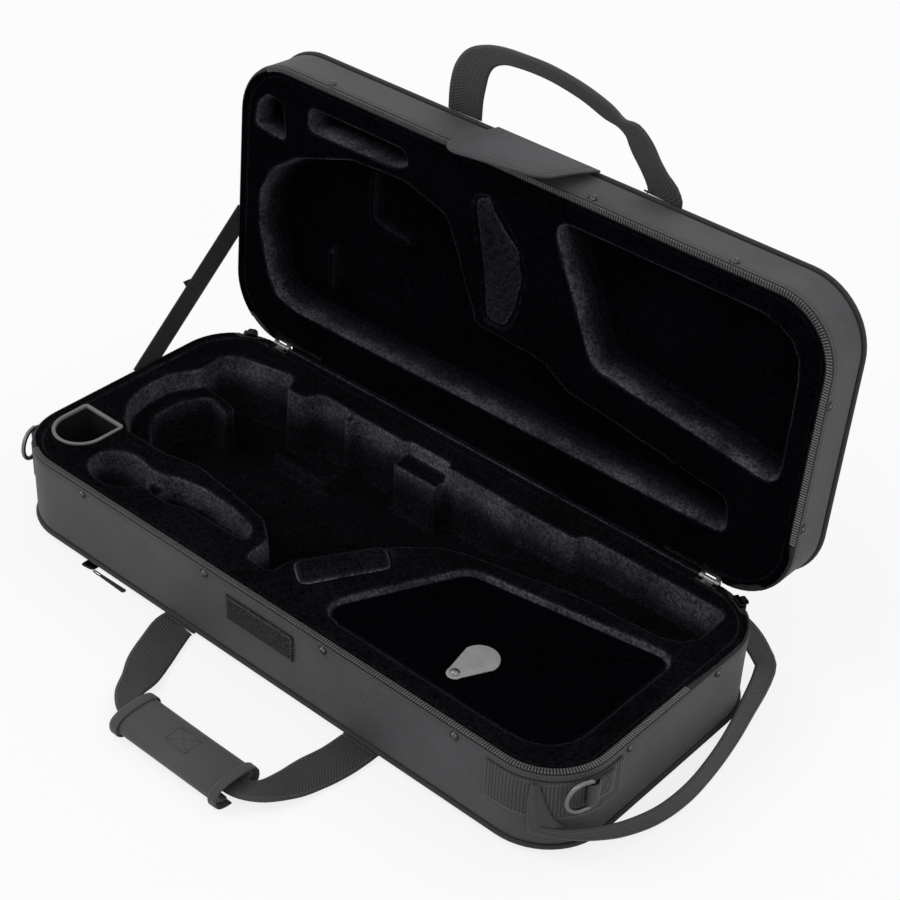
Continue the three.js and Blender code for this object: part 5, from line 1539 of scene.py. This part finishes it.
def handle_anchors():
    """Ends of the base handle's webbing, sewn under the front seam."""
    for name in ("left", "right"):
        low, high = box_mm(f"base_handle_anchor_{name}")
        middle = (low + high) / 2
        line = np.array([(middle[0], y, middle[2]) for y in np.linspace(low[1], high[1], 6)])
        target = Mesh()
        ribbon(target, line, np.tile((0.0, 0.0, 1.0), (len(line), 1)), WEBBING_WIDTH, WEBBING_THICKNESS,
               columns=10)
        sew(target, [(low[0] + 2, line[3][1], low[2]), (high[0] - 2, line[3][1], low[2])], (0, 0, -1))
        settle(target.object(f"anchor_{name}_webbing", "webbing"), "base", "webbing",
               f"base_handle_anchor_{name}")


def pocket():
    """Flat pocket on the underside: its panel, zip, slider and cord pull."""
    target = Mesh()
    height = box_mm("pocket_panel")[1][2]
    profile = [(11, height), (11, 1.6), (11.5, 0.6), (12.6, 0.05), (14, 0)]
    rows = [case_ring(inset, level) for inset, level in profile]
    target.grid(rows, run_of(rows[0], closed=True), rise_of(profile), closed=True)
    closed_end(target, rows[-1], 0, 0, lambda z: z)
    closed_end(target, rows[0], height, 0, lambda z: z)
    settle(target.object("pocket_cloth", "nylon"), "base", "nylon", "pocket_panel")
    low, high = box_mm("pocket_zip")
    teeth = Mesh()
    middle = (low + high) / 2
    band = [(low[1], high[2]), (low[1], low[2] + 0.5), (middle[1], low[2] + 0.45), (high[1], low[2] + 0.5),
            (high[1], high[2])]
    places = np.linspace(low[0], high[0], 40)
    teeth.grid([[(x, y, z) for x in places] for y, z in band], places, range(len(band)))
    for x in np.arange(low[0] + 1, high[0] - 1, 1.6):
        teeth.box((x, middle[1], low[2] + 0.4), ((1, 0, 0), (0, 1, 0), (0, 0, -1)), (1.0, 3.6, 0.8), 0.3)
    settle(teeth.object("pocket_teeth", "zip_teeth", merge=0.001), "base", "zip_teeth", "pocket_zip")
    slider_and_cord()


def slider_and_cord():
    """Slider of the pocket's zip, and the moulded pull that hangs from it on a short loop of cord."""
    low, high = box_mm("pocket_slider")
    slider = Mesh()
    outline = rounded(np.array([(low[0], low[1]), (high[0], low[1] + 2), (high[0], high[1] - 2),
                                (low[0], high[1])]), [2.5, 4, 4, 2.5], 5)
    profile = [(-0.5, low[2]), (0, low[2] + 0.4), (0, high[2] - 0.4), (-0.5, high[2])]
    stacked(slider, outline, profile)
    settle(slider.object("pocket_slider_metal", "dark_metal", angle=40), "pocket_runner", "steel",
           "pocket_slider")
    low, high = box_mm("pocket_pull")
    middle = (low + high) / 2
    pull = Mesh()
    reach = high[0] - low[0]
    start = low[0] + reach * 0.22
    for way in (-1, 1):
        line = smooth_line([(low[0] + 0.6, middle[1] + way * 0.7, middle[2]),
                            (low[0] + reach * 0.14, middle[1] + way * 1.2, middle[2]),
                            (start + 1, middle[1] + way * 0.9, middle[2])], 1)
        tube(pull, line, 0.58, 8, closed=False)
        round_ends(pull, line, 0.58, 8)
    corners = np.array([(start, low[1] + 0.9), (high[0], low[1]), (high[0], high[1]), (start, high[1] - 0.9)])
    outline = rounded(corners, [1.5, 2.4, 2.4, 1.5], 5)
    stacked(pull, outline, [(-0.5, low[2]), (0, low[2] + 0.4), (0, high[2] - 0.4), (-0.5, high[2]),
                            (-0.9, high[2]), (-1.2, high[2] - 0.35), (-1.6, high[2] - 0.35)])
    settle(pull.object("pocket_pull_moulding", "piping", angle=50), "pocket_tab", "webbing", "pocket_pull")


SLIDER_TURN = math.radians(27)


def zip_sliders():
    """Sliders parked at the rear ends of the zip, and their flat pulls."""
    for name, side in (("right", 1), ("left", -1)):
        out = np.array([side * math.sin(SLIDER_TURN), math.cos(SLIDER_TURN), 0])
        along = np.array([math.cos(SLIDER_TURN), -side * math.sin(SLIDER_TURN), 0])
        centre = np.array([side * ARC_X, ARC_Y, 0])
        body = Mesh()
        middle = centre + out * (CORNER_RADIUS - 3) + np.array([0, 0, PARTING])
        for way in (-1, 1):
            plate = middle + np.array([0, 0, way * 1.25])
            body.box(plate, (along, out, (0, 0, way)), (13.6, 4.9, 0.9), 0.4)
        body.box(middle, (along, out, (0, 0, 1)), (5, 4.6, 2.2), 0.2)
        pivot = centre + out * (CORNER_RADIUS + 2.6) + np.array([0, 0, PARTING])
        for way in (-1, 1):
            lug = pivot + along * way * 4 - out * 1.4
            body.box(lug, (along, out, (0, 0, 1)), (1.3, 4.6, 1.7), 0.2)
        tube(body, [pivot - along * 4.6, pivot + along * 4.6], 0.78, 10, closed=False)
        settle(body.object(f"slider_{name}_metal", "dark_metal", angle=35), "base", "steel",
               f"zip_slider_{name}")
        pull = Mesh()
        outline = rounded(np.array([(-3, -17), (3, -17), (2.4, -3), (-2.4, -3)], float), [2.4, 2.4, 1, 1], 5)
        levels = [(-0.3, -0.65), (0, -0.4), (0, 0.4), (-0.3, 0.65)]
        rows = [[pivot + along * x + np.array([0, 0, z]) + out * level for x, z in grown(outline, grow)]
                for grow, level in levels]
        pull.grid(rows, run_of(rows[0], closed=True), [0, 1, 2, 3], closed=True)
        count = len(outline)
        pull.add(rows[0], [tuple(range(count))])
        pull.add(rows[-1], [tuple(range(count))])
        ring = [pivot + along * way for way in (-3.0, 3.0)]
        tube(pull, ring, 1.85, 16, closed=False)
        pull.box(pivot + np.array([0, 0, -2.4]), (along, out, (0, 0, -1)), (4.6, 1.3, 3.2), 0.1)
        settle(pull.object(f"pull_{name}_metal", "dark_metal", angle=35), f"{name}_zip_pull", "steel",
               f"zip_pull_{name}")


PAD_SHARES = [(-0.05, -0.595), (0.085, -0.09), (0.168, -0.235), (0.04, -0.745)]
LID_PAD_SHARES = [
    (-0.125, -0.70), (-0.075, -0.755), (0.045, -0.50), (0.07, -0.33), (0.055, -0.10),
    (0.025, 0.055), (-0.045, 0.06), (-0.075, -0.25),
]


# Rows of the rear edging: distance behind the middle of the case, and share of its rise
EDGING_PROFILE = [
    (129.5, -0.7), (131, 0.25), (134, 0.45), (137.8, 0.5), (138.7, 0.9), (139.2, 1.85),
    (139.8, 2.2), (140.8, 2.2), (141.4, 1.7), (141.5, 0.6),
]


def rear_edging(half, place, top, rise, finish):
    """Plush between the hinges, wrapped over the frame and over the edge of the cover behind it."""
    reach = HINGE_CENTRE - HINGE_LENGTH / 2 - 0.8
    places = np.linspace(-reach, reach, 90)
    target = Mesh()
    rows = [[(x, y, top + rise * level) for x in places] for y, level in EDGING_PROFILE]
    target.grid(rows, places, rise_of(EDGING_PROFILE))
    settle(target.object(f"{half}_rear_edging", finish, place), half, "plush")


# Rim of a crowned pad: how far each outline is grown, and how far it lies below the crown
CROWN_DROPS = ((-0.3, 6), (-0.6, 3), (-2.4, 1.1), (-6, 0.3))
PAD_CORNER = 9


def crowned_pad(name, shares, root, crown, body, place, finish):
    """A stuffed pad between the recesses, swollen under its cloth."""
    outline = rounded(placed(shares), [PAD_CORNER] * len(shares), 6)
    towards = 1 if crown > root else -1
    profile = [(-0.5, root)] + [(grow, crown - towards * drop) for grow, drop in CROWN_DROPS]
    target = Mesh()
    stacked(target, outline, profile)
    made = target.object(name, finish, place)
    swollen(made, PAD_SWELL)
    settle(made, body, "plush")


# Places along the right side between which the plush draws out over the zip of each half
BASE_FADE = [-10, 55]
LID_FADE = [62, 84]


def plush_inserts():
    """Moulded inserts of both halves and the pads that stand on them."""
    for half, finish, seed in (("base", "plush", 1), ("lid", "lid_plush", 2)):
        made = softened(f"{half}_insert", f"{half}_plush", finish, half)
        creased(made, 0.35, 38, seed)
    crowned_pad("base_pad", PAD_SHARES, PLUSH_TOP - 14, PLUSH_TOP + 2.3, "base", same, "pad_plush")
    crowned_pad("lid_pad", LID_PAD_SHARES, LID_PLUSH + 30, LID_PLUSH - 0.8, "lid", opened, "lid_pad_plush")
    rear_edging("base", same, PLUSH_TOP, 1, "plush")
    rear_edging("lid", opened, LID_PLUSH, -0.55, "lid_plush")
    plush_welt("base", same, PLUSH_TOP, 1.9, BASE_FADE, "plush")
    plush_welt("lid", opened, LID_PLUSH, -0.9, LID_FADE, "lid_plush")


def carried_nodes():
    """Better finishes for the CAD nodes that stay."""
    finishes = {"base_frame": "board", "lid_frame": "board"}
    for side in ("right", "left"):
        for half in ("base", "lid"):
            finishes[f"hinge_{side}_{half}_leaf"] = "steel"
    for name, finish in finishes.items():
        refinished(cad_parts[name], finish)


def camera():
    """Camera at the photograph's place."""
    azimuth, elevation = math.radians(CAMERA_AZIMUTH), math.radians(CAMERA_ELEVATION)
    back = Vector((math.sin(azimuth) * math.cos(elevation), -math.cos(azimuth) * math.cos(elevation),
                   math.sin(elevation)))
    data = bpy.data.cameras.new("camera")
    data.sensor_width = SENSOR_WIDTH
    data.lens = CAMERA_FOCAL_SHARE * SENSOR_WIDTH
    data.clip_end = 60
    made = linked("camera", data)
    place = Vector(CAMERA_TARGET) + back * CAMERA_DISTANCE
    turned = back.to_track_quat("Z", "Y").to_matrix().to_4x4()
    roll = Matrix.Rotation(math.radians(CAMERA_ROLL), 4, "Z")
    made.matrix_world = Matrix.Translation(place) @ turned @ roll
    bpy.context.scene.camera = made


def seen_directly(tree):
    """1 for what the camera, metal or glass sees directly."""
    path = node(tree, "ShaderNodeLightPath").outputs
    first = math_node(tree, "MAXIMUM", path["Is Camera Ray"], path["Is Glossy Ray"])
    return math_node(tree, "MAXIMUM", first, path["Is Transmission Ray"])


FLOOR_REACH = 14
# Lamps: name, place and size in metres, and power in watts
LAMPS = [
    ("key", (-1.6, -1.5, 2.6), 1.8, 26),
    ("fill", (2.4, -1.2, 1.8), 2.0, 12),
    ("back", (0.4, 2.4, 2.2), 1.8, 14),
]


def surroundings():
    """White world, pale floor and soft lamps."""
    world = bpy.data.worlds.new("surroundings")
    bpy.context.scene.world = world
    world.use_nodes = True
    tree = world.node_tree
    plain = tree.nodes["Background"]
    plain.inputs["Color"].default_value = (1, 1, 1, 1)
    tree.links.new(mapped(tree, seen_directly(tree), low=0.62), plain.inputs["Strength"])
    mesh = bpy.data.meshes.new("floor")
    mesh.from_pydata([(x * FLOOR_REACH, y * FLOOR_REACH, 0) for x, y in SQUARE], [], [(0, 1, 2, 3)])
    floor = linked("floor", mesh)
    made, tree, shader = new_material("floor_paper")
    shader.inputs["Base Color"].default_value = shade(250)
    shader.inputs["Roughness"].default_value = 0.9
    glow = node(tree, "ShaderNodeEmission", {"Color": (1, 1, 1, 1), "Strength": 1.0})
    share = math_node(tree, "MULTIPLY", node(tree, "ShaderNodeLightPath").outputs["Is Camera Ray"], 0.8)
    mixed = node(tree, "ShaderNodeMixShader",
                 {0: share, 1: shader.outputs["BSDF"], 2: glow.outputs["Emission"]})
    tree.links.new(mixed.outputs["Shader"], tree.nodes["Material Output"].inputs["Surface"])
    mesh.materials.append(made)
    for name, place, size, power in LAMPS:
        data = bpy.data.lights.new(name, "AREA")
        data.shape = "DISK"
        data.size = size
        data.energy = power
        lamp = linked(name, data)
        lamp.location = place
        lamp.rotation_euler = (Vector((0, 0, 0.15)) - Vector(place)).to_track_quat("-Z", "Y").to_euler()
    bpy.context.scene.view_settings.view_transform = "Standard"


def base_height(height):
    """Heights of the base, as they are."""
    return height


def lid_height(height):
    """Heights of the base's cover turned into those of the shallower lid, true near the rim and the seam."""
    found = np.interp(height, [0, 14.3, 68, 88],
                      [LID_TOP + FOOT_GAP, LID_TOP - 10, mirrored(68), mirrored(88)])
    return found if isinstance(height, np.ndarray) else float(found)


camera()
surroundings()
carried_nodes()
plush_inserts()
cover("base", same, base_height, 0, 1)
cover("lid", opened, lid_height, LID_CROWN, 2)
piping("base", same, FOOT_GAP + PIPING_RADIUS)
piping("lid", opened, LID_TOP - PIPING_RADIUS)
zip_half("base", same, base_height, BASE_FADE)
zip_half("lid", opened, lid_height, LID_FADE)
compartment_panel()
pull_tab()
reed_cup()
rivets()
for side_name, side_sign in (("right", 1), ("left", -1)):
    corner_band(side_name, side_sign)
    d_ring(side_name, side_sign)
    ring_keeper(side_name, side_sign)
hook_patch()
webbing_handle("base_handle", "base_carry_handle", BASE_HANDLE_SHARES, BASE_HANDLE_REACH,
               GRIP_HEIGHT - LEG_HEIGHT, in_base_handle)
webbing_handle("lid_handle", "lid_carry_handle", LID_HANDLE_SHARES, LID_HANDLE_REACH, 0, in_lid_handle)
end_handle()
handle_wrap()
front_flap()
stay_strap()
handle_anchors()
pocket()
zip_sliders()
